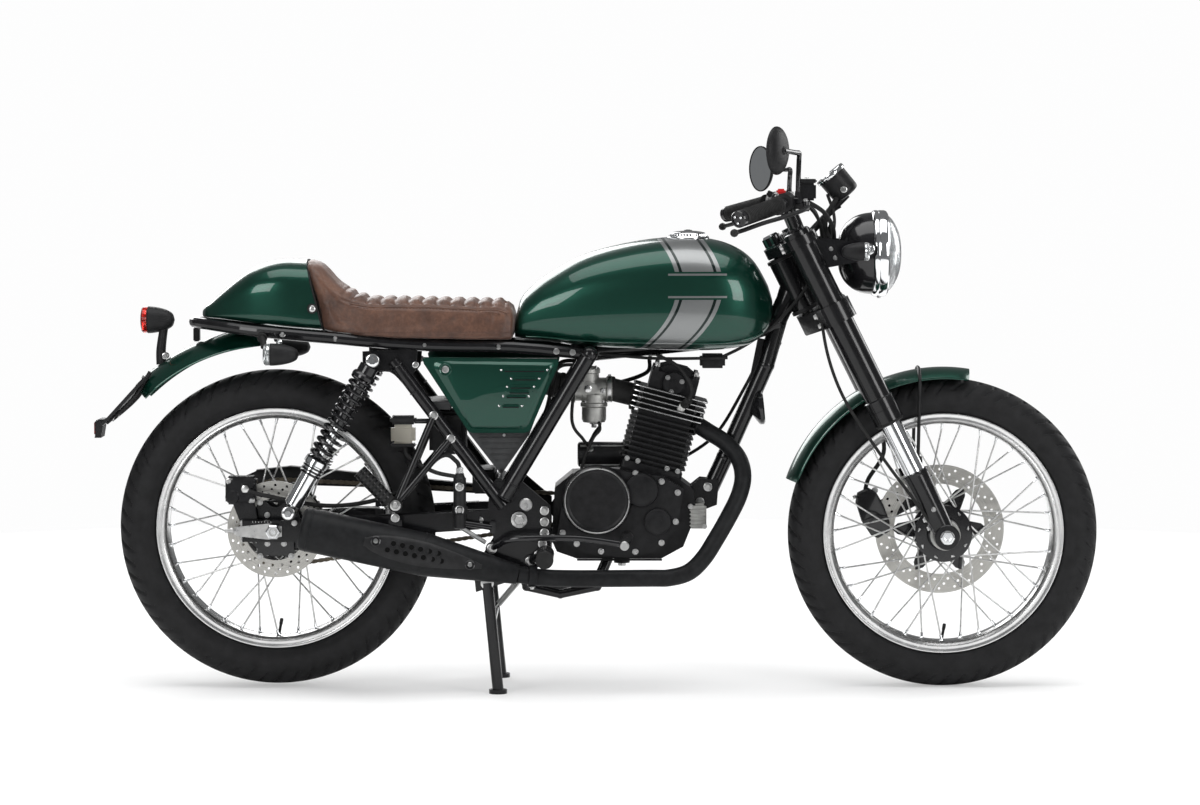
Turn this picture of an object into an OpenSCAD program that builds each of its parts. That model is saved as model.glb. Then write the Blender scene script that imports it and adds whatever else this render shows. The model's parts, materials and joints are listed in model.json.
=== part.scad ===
// Cafe racer motorcycle with a single-cylinder engine, wire wheels, a humped single seat,
// low handlebars and a centre stand, standing on its stand.
// Millimetres. +X is forward, +Y is the rider's left, +Z is up. The floor is Z = 0.
// Inside the modules X is counted from the rear axle, and bike() moves it to the middle.

/* [Chassis] */
// Distance between the axles
wheelbase = 1333; // [1250:1:1650]
// Angle of the steering axis from upright, degrees
rake = 26.5; // [22:0.5:30]
// Distance from the steering axis forward to the fork tubes
yoke_offset = 46; // [36:1:56]
// Distance between the two fork tubes
fork_gap = 190; // [180:1:230]
// Radius of the upper fork tubes
fork_tube_r = 27; // [22:0.5:32]
// Radius of the bright fork legs
fork_leg_r = 21; // [17:0.5:25]
// Radius of the seat rails
rail_r = 11.5; // [9:0.5:14]
// Half the distance between the frame's side tubes
frame_half = 105; // [95:1:126]
// Radius of the frame's main tubes
main_tube_r = 16; // [13:0.5:19]
// Radius of the frame's rear tubes
rear_tube_r = 13; // [10:0.5:16]

/* [Wheels] */
// Radius of the front tyre
front_tyre_r = 310; // [290:1:372]
// Width of the front tyre
front_tyre_w = 90; // [75:1:110]
// Radius of the rear tyre
rear_tyre_r = 316; // [295:1:335]
// Width of the rear tyre
rear_tyre_w = 110; // [90:1:132]
// Radius of both rims at their flanges
rim_r = 241; // [225:1:250]
// Width of the front rim
front_rim_w = 68; // [56:1:80]
// Width of the rear rim
rear_rim_w = 78; // [64:1:90]
// Radius of both axles
axle_r = 8.5; // [7:0.5:10]
// Radius of the hole through both axles
axle_bore_r = 5; // [3:0.5:6]
// Spokes in each wheel
spoke_count = 36; // [36:4:36]
// Radius of a spoke
spoke_r = 1.7; // [1.2:0.1:2.5]
// Height of the rear tyre above the floor on the stand
rear_lift = 5; // [3:1:20]

/* [Brakes and chain] */
// Outer radius of the front disc
front_disc_r = 130; // [115:1:150]
// Outer radius of the rear disc
rear_disc_r = 96; // [90:1:110]
// Radius of the rear sprocket's pitch line
sprocket_r = 85; // [75:1:100]
// Distance from the middle plane to the chain
chain_y = 76; // [74:1:82]

/* [Bodywork] */
// Width of the fuel tank
tank_w = 264; // [220:1:317]
// Width of the seat
seat_w = 240; // [200:1:288]
// Radius of the headlight's rim
headlight_r = 86; // [72:1:96]
// Radius of the speedometer
speedo_r = 32; // [27:1:40]
// Radius of a mirror
mirror_r = 47; // [39:1:56]
// Radius of the silencer
muffler_r = 43; // [36:1:50]
// Radius of the exhaust pipe
exhaust_r = 17; // [14:0.5:20]

/* [Engine] */
// Width of the crankcase
case_w = 200; // [180:1:240]
// Lean of the cylinder forward, degrees
cylinder_lean = 14.7; // [5:0.1:20]
// Gap between two cooling fins
fin_gap = 8; // [6:0.5:10]
// Thickness of a cooling fin
fin_t = 2.6; // [2:0.1:4]

/* [Controls] */
// Half the width over the handlebar ends
bar_half = 340; // [300:1:380]
// Radius of the handlebar
bar_r = 11; // [9:0.5:13]
// Radius of a grip
grip_r = 16.5; // [14:0.5:19]
// Distance from the middle plane to the end of a footpeg
peg_end = 300; // [260:1:340]

/* [Centre stand] */
// Distance of the stand's pivot in front of the rear axle
stand_pivot_x = 423; // [400:1:440]
// Height of the stand's pivot
stand_pivot_z = 220; // [190:1:240]
// Distance of the feet in front of the pivot
stand_foot_ahead = 21; // [15:1:40]
// Half the distance between the feet
stand_half = 118; // [118:1:130]
// Radius of the stand's tubes
stand_tube_r = 11; // [9:0.5:13]

/* [Hidden] */

$fn = 48;

// Clearances: turning fit on an axle or pin (radial), and between pieces that only seat.
fit = 0.05;
seat_gap = 0.3;
bead = 0.7;             // what a joint's ball adds to its tube's radius

// Axles, and the overall length they give
rear_axle_z = rear_tyre_r + rear_lift;
front_axle_z = front_tyre_r;
plate_tail_x = -364;
bike_mid_x = (plate_tail_x + wheelbase + front_tyre_r) / 2;

// Steering frame: its origin is on the steering axis beside the front axle, its Z runs up the
// axis, and the fork tubes and the axle lie yoke_offset ahead along its X.
steer_x = wheelbase - yoke_offset * cos(rake);
steer_z = front_axle_z - yoke_offset * sin(rake);
fork_y = fork_gap / 2;
head_low = 520;         // heights along the steering axis
head_high = 640;
stem_r = 13;
fork_top = 672;
fork_tube_low = 257;
function steer_point(x, y, z) = [steer_x + x * cos(rake) - z * sin(rake), y,
    steer_z + x * sin(rake) + z * cos(rake)];

// Wheel parts
hub_half = 52;          // half the width between a hub's end faces
hub_flange_r = 57;
hub_flange_y = 32;      // flanges' distance from the middle plane
hub_flange_t = 7;
spoke_hole_r = 49;      // radius of the spoke circle on a flange
rim_bed_r = rim_r - 22; // inner radius of a rim
disc_t = 4;
disc_y = 60;            // a disc's distance from the middle plane
sprocket_t = 6;
arm_in = 85;            // inner faces of the swingarm's arms
arm_t = 22;
axle_half = 128;

arm_out = arm_in + arm_t;

// Swingarm and shock absorbers
pivot = [486, 345];
pivot_bolt_r = 7;
shock_y = 132;
shock_top = [199, 662];
shock_low = [32, rear_axle_z + 40];
eye_r = 15;
eye_pin_r = 6;

// Frame's corner points in X and Z
front_top = [631, 680];
front_low = [455, 388];
rear_top = [238, 660];
rear_low = [455, 371];
seat_tube_z = 672;
plate_y = [frame_half - 8, 8];    // pivot plates: inner face and thickness

// Seat rail: half of its loop, X, Y, Z
rail_half = [[620, frame_half - 7, 672], [476, frame_half - 2, 686], [292, frame_half, 690],
    [114, frame_half - 1, 704], [-30, frame_half - 7, 717], [-110, 70, 727], [-150, 38, 731],
    [-165, 0, 732]];

// Stand
stand_pin_r = 9;
foot_r = 18;
foot_t = 6;

// --- Shape helpers -------------------------------------------------------------------------

module bike() translate([-bike_mid_x, 0, 0]) children();
module steering() translate([steer_x, 0, steer_z]) rotate([0, -rake, 0]) children();
module both_sides() {
    children();
    mirror([0, 1, 0]) children();
}

// Cylinder along Y, centred on y
module across(x, y, z, r, h) translate([x, y, z]) rotate([90, 0, 0]) cylinder(h = h, r = r, center = true);
// Cylinder along X, from x forward
module forward(x, y, z, r, h, r2 = undef)
    translate([x, y, z]) rotate([0, 90, 0]) cylinder(h = h, r1 = r, r2 = is_undef(r2) ? r : r2);
module rod(a, b, r, r2 = undef) {
    v = b - a;
    translate(a) rotate([0, acos(v.z / norm(v)), atan2(v.y, v.x)])
        cylinder(h = norm(v), r1 = r, r2 = is_undef(r2) ? r : r2);
}
// Straight tubes through a list of points, with a ball at each inner corner
module tubes(points, r) {
    for (i = [0:len(points) - 2]) rod(points[i], points[i + 1], r);
    if (len(points) > 2) for (i = [1:len(points) - 2]) translate(points[i]) sphere(r + bead);
}
// Plate in the XZ plane between y and y + t, from an outline of [x, z]
module plate(outline, y, t) translate([0, y + t, 0]) rotate([90, 0, 0]) linear_extrude(t) polygon(outline);
// Ring about Y
module ring(x, y, z, r, bore, h) difference() {
    across(x, y, z, r, h);
    across(x, y, z, bore, h + 2);
}

// Smooth curve through points, steps pieces to each span
function smooth(p, steps = 4) = [for (i = [0:len(p) - 2]) for (k = [0:steps - 1])
    let (a = p[max(i - 1, 0)], b = p[i], c = p[i + 1], d = p[min(i + 2, len(p) - 1)], t = k / steps)
    0.5 * (2 * b + (c - a) * t + (2 * a - 5 * b + 4 * c - d) * t * t + (3 * b - a - 3 * c + d) * t * t * t),
    p[len(p) - 1]];
function unit(v) = v / norm(v);
function along(p, i) = unit(p[min(i + 1, len(p) - 1)] - p[max(i - 1, 0)]);
function circle_ring(c, t, ref, r, n) = let (s = unit(cross(t, ref)), u = cross(s, t))
    [for (k = [0:n - 1]) c + r * (cos(360 * k / n) * s + sin(360 * k / n) * u)];
// Solid skin over rings of equally many points, closed at both ends
module skin(rings) {
    n = len(rings[0]);
    m = len(rings);
    points = [for (r = rings) each r];
    walls = [for (i = [0:m - 2]) for (k = [0:n - 1])
        let (a = i * n + k, b = i * n + (k + 1) % n) each [[a, b, b + n], [a, b + n, a + n]]];
    polyhedron(points, concat([[for (k = [n - 1:-1:0]) k]], walls, [[for (k = [0:n - 1]) (m - 1) * n + k]]));
}
// Round tube swept along a path that never runs parallel to ref
module sweep(path, r, ref = [0, 0, 1], n = 12)
    skin([for (i = [0:len(path) - 1]) circle_ring(path[i], along(path, i), ref, r, n)]);

function bent(v, e) = sign(v) * pow(abs(v), 2 / e);
// One section of a body shell: row is [x at its foot, lean, low z, high z, half width].
// The powers square its upper and lower corners, and the notch [half width, z] is a tunnel.
function section(row, power, low_power, n, notch) = [for (k = [0:n - 1])
    let (c = cos(360 * k / n), s = sin(360 * k / n), e = s < 0 ? low_power : power,
        y = -row[4] * bent(c, e),
        flat_z = (row[2] + row[3]) / 2 + (row[3] - row[2]) / 2 * bent(s, e),
        z = s < 0 && abs(y) < notch[0] ? max(flat_z, notch[1]) : flat_z)
    [row[0] + row[1] * (z - row[2]), y, z]];
module shell(rows, power = 2.4, low_power = 3, n = 28, notch = [0, 0])
    skin([for (row = rows) section(row, power, low_power, n, notch)]);

// Tank section with a tunnel under it; row is [x, low z, high z, half width]
function tank_section(row, n) = let (half = row[3], low = row[1], high = row[2], mid = (low + high) / 2,
    h = (high - low) / 2, top = max(tunnel[1], low + 2),
    side = [for (k = [1:n]) let (a = 90 * k / n) [tunnel[0] + (half - tunnel[0]) * bent(cos(a), 3),
        mid - h * bent(sin(a), 3)]])
    [for (p = concat([for (k = [0:2 * n]) [-half * bent(cos(90 * k / n), 2.4),
            mid + h * bent(sin(90 * k / n), 2.4)]],
        side, [[tunnel[0], top], [-tunnel[0], top]], [for (k = [n - 1:-1:0]) [-side[k][0], side[k][1]]]))
    [row[0], p[0], p[1]]];

// Curved mudguard: arc over a wheel about its axle, crown radius at mid width and sides lower
module fender(axle_x, axle_z, r, edge_drop, w, t, from, to) translate([axle_x, 0, axle_z]) rotate([90, 0, 0])
    rotate([0, 0, from]) rotate_extrude(angle = to - from, $fn = 96)
    polygon([for (k = [-4:4]) [r - edge_drop * pow(abs(k) / 4, 2.2), w / 8 * k],
        for (k = [4:-1:-4]) [r - t - (edge_drop + 1) * pow(abs(k) / 4, 2.2), (w / 8 - t / 5) * k]]);

// --- Chassis -------------------------------------------------------------------------------

module frame() color("#151515") bike() {
    difference() {
        union() {
            steering() translate([0, 0, head_low]) cylinder(h = head_high - head_low, r = 27);
            tubes([steer_point(0, 0, head_low + 60), steer_point(-66, 0, head_low + 6), [900, 0, 700],
                [620, 0, seat_tube_z]], 20);
            tubes([steer_point(0, 0, head_low + 72), [978, 0, 645], [897, 0, 461], [862, 0, 385]], 17);
        }
        steering() translate([0, 0, head_low - 1]) cylinder(h = head_high - head_low + 2, r = stem_r + fit);
    }
    // gusset behind the steering head
    plate([[1010, 690], [962, 700], [940, 590], [958, 590]], -3, 6);
    across(front_top[0] - 6, 0, seat_tube_z, main_tube_r, 2 * frame_half);
    across(rear_top[0] + 8, 0, rear_top[1] - 6, rear_tube_r, 2 * frame_half);
    both_sides() {
        translate([front_top[0] - 6, frame_half, seat_tube_z]) sphere(main_tube_r + bead);
        rod([front_top[0] - 6, frame_half, seat_tube_z], [front_low[0], frame_half, front_low[1]],
            main_tube_r);
        rod([rear_top[0], frame_half, rear_top[1]], [rear_low[0], frame_half, rear_low[1]], rear_tube_r);
        // shock mount gusset and stud
        plate([[180, 678], [286, 684], [282, 640], [262, 612], [232, 640], [186, 640]], frame_half - 4, 8);
        // pad under the tank
        translate([600, 50, seat_tube_z]) cylinder(h = 21, r = 12);
        across(shock_top[0], shock_y - 8, shock_top[1], eye_pin_r - fit, 64);
        // pivot plate
        difference() {
            plate([[430, 420], [492, 420], [548, 372], [548, 268], [500, 232], [400, 200], [396, 236],
                [436, 300], [424, 372]], plate_y[0], plate_y[1]);
            across(pivot[0], plate_y[0], pivot[1], pivot_bolt_r + fit, 40);
            across(stand_pivot_x, plate_y[0], stand_pivot_z, stand_pin_r + fit, 40);
        }
    }
    across(447, 0, 413, rear_tube_r, 2 * frame_half - 6);
    // engine mounts at the front
    both_sides() plate([[846, 420], [884, 416], [880, 366], [838, 350], [812, 366], [816, 396]], 14, 6);
    across(pivot[0], 0, pivot[1], pivot_bolt_r, 2 * (plate_y[0] + plate_y[1]) + 16);
}
module subframe() color("#151515") bike() {
    half = smooth(rail_half, 3);
    other = [for (i = [len(half) - 2:-1:0]) [half[i].x, -half[i].y, half[i].z]];
    sweep(concat(half, other), rail_r);
}

module swingarm() color("#191919") bike() {
    difference() {
        union() {
            across(pivot[0], 0, pivot[1], 22, 2 * (plate_y[0] - seat_gap));
            both_sides() {
                plate([[pivot[0] - 78, pivot[1] + 17], [pivot[0] - 78, pivot[1] - 20],
                    [40, rear_axle_z - 21], [-62, rear_axle_z - 21], [-62, rear_axle_z + 21],
                    [40, rear_axle_z + 21]], arm_in, arm_t);
                plate([[pivot[0], pivot[1] + 21], [pivot[0], pivot[1] - 21], [pivot[0] - 110, pivot[1] - 20],
                    [pivot[0] - 110, pivot[1] + 17]], plate_y[0] - seat_gap - 17, 17);
                across(shock_low[0], shock_y - 18, shock_low[1], 13, 12);
                plate([[20, rear_axle_z + 15], [56, rear_axle_z + 15], [44, rear_axle_z + 52],
                    [24, rear_axle_z + 52]], arm_in + arm_t - 5, 9);
            }
            across(rear_tyre_r + 58, 0, 338, 16, 2 * arm_in + 10);
        }
        across(pivot[0], 0, pivot[1], pivot_bolt_r + fit, 300);
        across(0, 0, rear_axle_z, axle_r + fit, 300);
    }
    both_sides() across(shock_low[0], shock_y - 8, shock_low[1], eye_pin_r - fit, 50);
}

// Sleeve on an axle between two faces
module spacer(x, z, from, to) across(x, (from + to) / 2, z, 14, to - from);

module rear_axle() color("silver") bike() difference() {
    union() {
        across(0, 0, rear_axle_z, axle_r, 2 * axle_half);
        both_sides() {
            translate([0, arm_out + 10, rear_axle_z]) rotate([90, 0, 0]) cylinder(h = 8, r = 15, $fn = 6);
            plate([[-74, rear_axle_z - 9], [-74, rear_axle_z + 9], [-10, rear_axle_z + 16],
                [16, rear_axle_z + 10], [16, rear_axle_z - 10], [-10, rear_axle_z - 16]],
                arm_out + seat_gap, 2);
        }
        spacer(0, rear_axle_z, chain_y + sprocket_t / 2 + seat_gap, arm_in - seat_gap);
        spacer(0, rear_axle_z, -arm_in + seat_gap, -disc_y + disc_t / 2 - seat_gap);
    }
    across(0, 0, rear_axle_z, axle_bore_r, 400);
}

module shock_absorbers() color("#1c1c1c") bike() both_sides() {
    top = [shock_top[0], shock_y, shock_top[1]];
    low = [shock_low[0], shock_y, shock_low[1]];
    d = unit(low - top);
    length = norm(low - top);
    ring(top.x, top.y, top.z, eye_r, eye_pin_r, 26);
    ring(low.x, low.y, low.z, eye_r, eye_pin_r, 22);
    rod(top + d * 14, top + d * 40, 19);
    rod(top + d * 38, top + d * (length - 110), 24);
    rod(top + d * (length - 112), low - d * 14, 18);
}

// --- Engine --------------------------------------------------------------------------------

case_half = 60;                 // half the width of the crankcase between its covers
cover_y = case_w / 2;           // outer face of the flat side covers
cyl_base = [747, 437];          // middle of the cylinder's foot
deck_h = 10;                    // crankcase deck the cylinder stands on
gasket_h = 112;                 // from the foot to the head
head_h = 160;                   // from the foot to the rocker cover
cyl_h = 216;                    // from the foot to the top
front_sprocket = [572, 350];
front_sprocket_r = 27;

module crankcase() color("#1a1a1a") bike() {
    plate([[549, 300], [556, 404], [590, 432], [690, 436], [800, 424], [832, 400], [838, 352], [812, 286],
        [768, 262], [600, 262], [560, 276]], -case_half, 2 * case_half);
    on_cylinder() translate([-60, -54, -30]) cube([120, 108, 30 + deck_h]);
    // starter motor
    forward(604, 0, 466, 25, 106);
    translate([690, 0, 248]) cylinder(h = 16, r = 16);
    across(front_sprocket[0], case_half + 8, front_sprocket[1], 12, 24);
    across(front_sprocket[0], chain_y, front_sprocket[1], front_sprocket_r, sprocket_t);
}

module on_cylinder() translate([cyl_base[0], 0, cyl_base[1]]) rotate([0, cylinder_lean, 0]) children();
module fin(w_x, w_y, z) translate([0, 0, z]) intersection() {
    translate([-w_x / 2, -w_y / 2, 0]) cube([w_x, w_y, fin_t]);
    cylinder(h = fin_t, r = norm([w_x, w_y]) / 2 - 12);
}
module cylinder_barrel() color("#161616") bike() on_cylinder() {
    pitch = fin_t + fin_gap;
    translate([-54, -46, deck_h]) cube([108, 92, head_h - deck_h]);
    for (k = [0:floor((gasket_h - deck_h - 8) / pitch)]) fin(132, 116, deck_h + 6 + k * pitch);
    for (k = [0:floor((head_h - gasket_h - fin_t) / pitch)]) fin(150, 126, gasket_h + 4 + k * pitch);
    translate([-48, -50, head_h - 1]) cube([96, 100, 38]);
    translate([0, 0, head_h + 30]) fin_cap();
}
module fin_cap() translate([0, -40, 0]) rotate([-90, 0, 0]) intersection() {
    translate([0, 26, 0]) cylinder(h = 80, r = 52);
    translate([-48, -(cyl_h - head_h - 30), 0]) cube([96, cyl_h - head_h - 30, 80]);
}

module engine_covers() color("#202020") bike() {
    // right: clutch side
    plate([[560, 306], [572, 380], [600, 430], [660, 444], [768, 430], [812, 404], [800, 330], [760, 280],
        [700, 268], [620, 276]], -cover_y, cover_y - case_half);
    across(640, -(cover_y + 11), 383, 66, 22);
    across(728, -(cover_y + 5), 403, 32, 10);
    across(760, -(cover_y + 4), 340, 26, 8);
    // left: generator side, clear of the chain at its rear
    plate([[front_sprocket[0] + 48, 300], [front_sprocket[0] + 48, 430], [768, 430], [806, 404],
        [800, 330], [760, 280], [700, 268]], case_half, cover_y - case_half);
    across(666, cover_y + 11, 372, 62, 22);
}

carb_z = 597;
module carburettor() color("#8d8d88") bike() {
    forward(588, 0, carb_z, 23, 84);
    translate([634, 0, 529]) cylinder(h = 58, r = 24);
    translate([622, 0, 590]) cylinder(h = 54, r = 21);
    rod([668, 0, carb_z], [728, 0, 580], 21);
}

module airbox() color("#2b2b2b") bike() {
    inner = frame_half - main_tube_r - 3;
    plate([[300, 655], [560, 655], [506, 512], [450, 432], [388, 512]], -inner, 2 * inner);
    rod([536, 0, 612], [588, 0, carb_z], 25);
    // ears that sit against the rear tubes
    translate([300, -(frame_half - rear_tube_r - seat_gap), 562])
        cube([50, 2 * (frame_half - rear_tube_r - seat_gap), 16]);
}

pipe_end = [484, -146, 240];
module exhaust_pipe() color("#26282a") bike() {
    route = [[838, -14, 528], [864, -22, 512], [896, -36, 492], [922, -56, 462], [930, -74, 428],
        [922, -90, 392], [902, -104, 352], [876, -116, 308], [851, -124, 270], [822, -130, 243],
        [784, -133, 232], [740, -134, 231], [560, -136, 231], pipe_end];
    sweep(smooth(route, 3), exhaust_r, ref = [0, 1, 0], n = 16);
}

muffler_tail = [57, -162, 333];
muffler_neck = 250;             // length of its straight body
module along_axis(from, to) {
    v = to - from;
    translate(from) rotate([0, acos(v.z / norm(v)), atan2(v.y, v.x)]) children();
}
module muffler() color("#242628") bike() {
    length = norm(pipe_end - muffler_tail);
    along_axis(muffler_tail, pipe_end) rotate_extrude() polygon([[13, 0], [muffler_r - 6, 0], [muffler_r, 8],
        [muffler_r, muffler_neck], [exhaust_r + 3, length], [0, length], [0, 60], [13, 60]]);
    rod([243, -152, 320], [243, -140, 366], 5);
}

// --- Bodywork ------------------------------------------------------------------------------

tunnel = [33, 742];             // half width and top of the tank's tunnel over the spine
module fuel_tank() color("#0f3d2b") bike() skin([for (row = [
    // x, low z, high z, half width
    [477, 704, 738, 0.56 * tank_w / 2], [487, 701, 776, 0.66 * tank_w / 2],
    [510, 698, 803, 0.74 * tank_w / 2], [540, 695, 826, 0.80 * tank_w / 2],
    [606, 686, 863, 0.90 * tank_w / 2], [686, 681, 887, 0.97 * tank_w / 2],
    [776, 678, 901, tank_w / 2], [846, 677, 901, 0.98 * tank_w / 2],
    [906, 681, 887, 0.92 * tank_w / 2], [950, 693, 857, 0.77 * tank_w / 2],
    [980, 719, 808, 0.52 * tank_w / 2], [989, 745, 780, 0.36 * tank_w / 2]]) tank_section(row, 7)]);

cap_x = 822;
module fuel_cap() color("silver") bike() translate([cap_x, 0, 900]) {
    cylinder(h = 10, r = 40.5);
    cylinder(h = 13, r = 33);
    cylinder(h = 16, r = 20);
}

module seat() color("#5a3826") bike() shell([
    [100, -0.257, 717, 856, 0.80 * seat_w / 2], [118, -0.26, 716, 850, 0.87 * seat_w / 2],
    [150, -0.26, 712, 800, 0.93 * seat_w / 2], [190, -0.15, 709, 786, 0.98 * seat_w / 2],
    [290, 0, 703, 781, seat_w / 2], [400, 0, 701, 777, 0.98 * seat_w / 2],
    [474, 0, 700, 776, 0.9 * seat_w / 2]], power = 3.4, low_power = 20);

module tail_cowl() color("#0f3d2b") bike() shell([
    [-147, 0, 744, 756, 20], [-130, 0, 741, 772, 46], [-105, 0, 739, 795, 66], [-70, -0.05, 735, 821, 84],
    [-30, -0.1, 730, 843, 97], [30, -0.16, 723, 857, 104], [99, -0.257, 717.4, 856, 0.80 * seat_w / 2 + 3]],
    power = 2.6, low_power = 8);

cover_face = 120;
module side_covers() color("#10402d") bike() both_sides() {
    plate([[296, 668], [566, 664], [566, 651], [509, 520], [500, 516], [392, 516], [384, 521],
        [296, 656]], cover_face - 14, 14);
    // rubber-mounted pins to the airbox
    for (pin = [[340, 635], [540, 640]])
        across(pin[0], (frame_half - main_tube_r - 3 + seat_gap + cover_face - 8) / 2, pin[1], 6,
            cover_face - 8 - (frame_half - main_tube_r - 3 + seat_gap));
}

fender_r = rear_tyre_r + 86;
module rear_fender() color("#0f3d2b") bike() {
    fender(0, rear_axle_z, fender_r, 34, 136, 3, 94, 135);
    // bracket up to the seat rail's rear bend
    translate([-166, -12, rear_axle_z + 362]) cube([10, 24, 37]);
}

lamp_z = 736;
module bullet(front, tail, r) rotate([0, 90, 0]) rotate_extrude()
    polygon([[0, tail], [r * 0.45, tail + r * 0.12], [r * 0.8, tail + r * 0.45], [r * 0.97, tail + r * 0.95],
        [r, tail + r * 1.3], [r, front - r * 0.35], [r * 0.9, front - r * 0.1], [0, front]]);
module tail_light() color("#181818") bike() {
    translate([0, 0, lamp_z]) mirror([1, 0, 0]) bullet(272, 205, 27);
    rod([-226, 0, lamp_z - 18], [-232, 0, rear_axle_z + 322], 11);
}

module rear_indicators() color("#181818") bike() both_sides() {
    translate([0, 150, 674]) mirror([1, 0, 0]) bullet(55, -15, 22);
    rod([-14, 150, 688], [-22, 106, 708], 6);
}

module plate_bracket() color("#161616") bike() translate([0, 0, rear_axle_z]) {
    plate([[-262, 303], [-256, 299], [-330, 219], [-346, 205], [-350, 209], [-335, 223]], -56, 112);
    plate([[plate_tail_x, 180], [-351, 180], [-345, 217], [-356, 217]], -28, 56);
}

// --- Foot controls and brakes -------------------------------------------------------------

plate_face = plate_y[0] + plate_y[1];
module footpegs() color("#1b1b1b") bike() both_sides() {
    rod([508, plate_face + seat_gap, 262], [539, 185, 284], 9);
    translate([508, plate_face + seat_gap, 262]) rotate([-90, 0, 0]) cylinder(h = 10, r = 13);
    rod([539, 180, 284], [539, peg_end, 284], 17);
    tubes([[664, 40, 262], [640, 56, 206], [567, 66, 192], [500, 74, 208],
        [492, plate_y[0] - seat_gap, 240]], 9);
}

peg_pivot = [243, 132, 376];
module passenger_pegs() color("#181818") bike() both_sides() {
    for (top = [[318, frame_half + 12, 552], [352, frame_half + 12, 506]]) rod(top, peg_pivot, 7);
    across(peg_pivot.x, peg_pivot.y, peg_pivot.z, 14, 22);
    rod(peg_pivot + [-12, 8, 6], peg_pivot + [-70, 12, 68], 14);
}

module foot_controls() color("#202020") bike() {
    // brake pedal on the right
    across(432, -(plate_face + seat_gap + 9), 288, 12, 18);
    sweep(smooth([[432, -120, 288], [446, -140, 298], [480, -166, 312], [600, -172, 314],
        [694, -176, 302]], 2), 6, n = 8);
    across(694, -184, 302, 9, 44);
    // gear lever on the left
    rod([640, cover_y + seat_gap, 292], [640, 162, 292], 8);
    sweep([[640, 156, 292], [680, 166, 296], [712, 170, 304]], 6, n = 8);
    across(712, 180, 304, 9, 44);
}

module rear_brake() color("#2a2a2a") bike() {
    // caliper round the disc, hung from the swingarm
    difference() {
        translate([-98, -(disc_y + 18), rear_axle_z + 52]) cube([62, 34, 56]);
        across(0, -disc_y, rear_axle_z, rear_disc_r + 5, disc_t + 10);
    }
    plate([[-60, rear_axle_z - 8], [-30, rear_axle_z - 8], [-40, rear_axle_z + 56], [-84, rear_axle_z + 56]],
        -(arm_in - seat_gap), 8);
    // fluid reservoir on the rear frame tube, and the master cylinder on the pivot plate
    translate([232, -(frame_half + 15), 492]) cube([50, 34, 58]);
    rod([280, -frame_half, 536], [316, -frame_half + 2, 540], 5);
    rod([369, -(plate_face + 17), 330], [369, -(plate_face + 17), 430], 12);
    rod([369, -(plate_face + 17), 340], [432, -(plate_face + 12), 330], 6);
    translate([428, -(plate_face + 16), 318]) cube([12, 16 - seat_gap, 24]);
}

module loop_outline(grow) hull() {
    translate([0, rear_axle_z]) circle(sprocket_r + grow);
    translate(front_sprocket) circle(front_sprocket_r + grow);
}
module chain() color("#4a463e") bike() translate([0, chain_y + 6, 0]) rotate([90, 0, 0]) linear_extrude(12)
    difference() {
        loop_outline(9);
        loop_outline(1.5);
    }

module chain_guard() color("#151515") bike() {
    top = rear_axle_z + sprocket_r + 12;
    plate([[-112, rear_axle_z + 60], [-96, top - 12], [-50, top + 8], [20, top + 16], [200, top - 2],
        [430, top - 24], [430, top - 40], [190, top - 26], [60, top - 22], [-60, top - 26],
        [-96, rear_axle_z + 60]], chain_y + 8, 3);
    plate([[-50, top + 8], [20, top + 16], [200, top - 2], [430, top - 24], [430, top - 21], [200, top + 1],
        [20, top + 19], [-50, top + 11]], chain_y - 12, 23);
    translate([190, chain_y + 8, 332]) cube([18, arm_in - seat_gap - chain_y - 8, top - 360]);
}

// --- Steering ------------------------------------------------------------------------------

module triple_clamps() color("#141414") bike() {
    bar_risers();
    steering() difference() {
        union() {
            for (z = [[head_low - 44, 40], [head_high + 4, 20]]) translate([0, 0, z[0]]) {
                linear_extrude(z[1]) polygon([[-24, -26], [-24, 26], [yoke_offset - 26, fork_y + 30],
                    [yoke_offset + 26, fork_y + 30], [yoke_offset + 34, 40], [yoke_offset + 34, -40],
                    [yoke_offset + 26, -fork_y - 30], [yoke_offset - 26, -fork_y - 30]]);
                both_sides() translate([yoke_offset, fork_y, 0]) cylinder(h = z[1], r = fork_tube_r + 9);
            }
            translate([0, 0, head_low - 40]) cylinder(h = head_high - head_low + 60, r = stem_r);
            translate([0, 0, head_high + 20]) cylinder(h = 24, r = 19, $fn = 6);
        }
        both_sides() translate([yoke_offset, fork_y, 0]) cylinder(h = 900, r = fork_tube_r + fit);
    }
}

// Clamps that hold the handlebar on the upper yoke
module bar_risers() both_sides()
    rod(steer_point(yoke_offset + 6, 42, head_high + 16), [bar_mid.x, 42, bar_mid.z], 14);

module fork_tubes() color("#131313") bike() steering() both_sides()
    translate([yoke_offset, fork_y, fork_tube_low]) {
        cylinder(h = fork_top - fork_tube_low, r = fork_tube_r);
        cylinder(h = 26, r = fork_tube_r + 3);
    }

clamp_top = 140;
module fork_legs() color("silver") bike() steering() both_sides()
    translate([yoke_offset, fork_y, clamp_top]) cylinder(h = fork_tube_low - clamp_top, r = fork_leg_r);

clamp_half = 22;
module axle_clamps() color("#161616") bike() steering() both_sides() difference() {
    union() {
        translate([yoke_offset, fork_y, 14]) cylinder(h = clamp_top - 14, r1 = 21, r2 = fork_leg_r + 5);
        across(yoke_offset, fork_y, 0, 25, 2 * clamp_half);
    }
    across(yoke_offset, fork_y, 0, axle_r + fit, 100);
}

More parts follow.
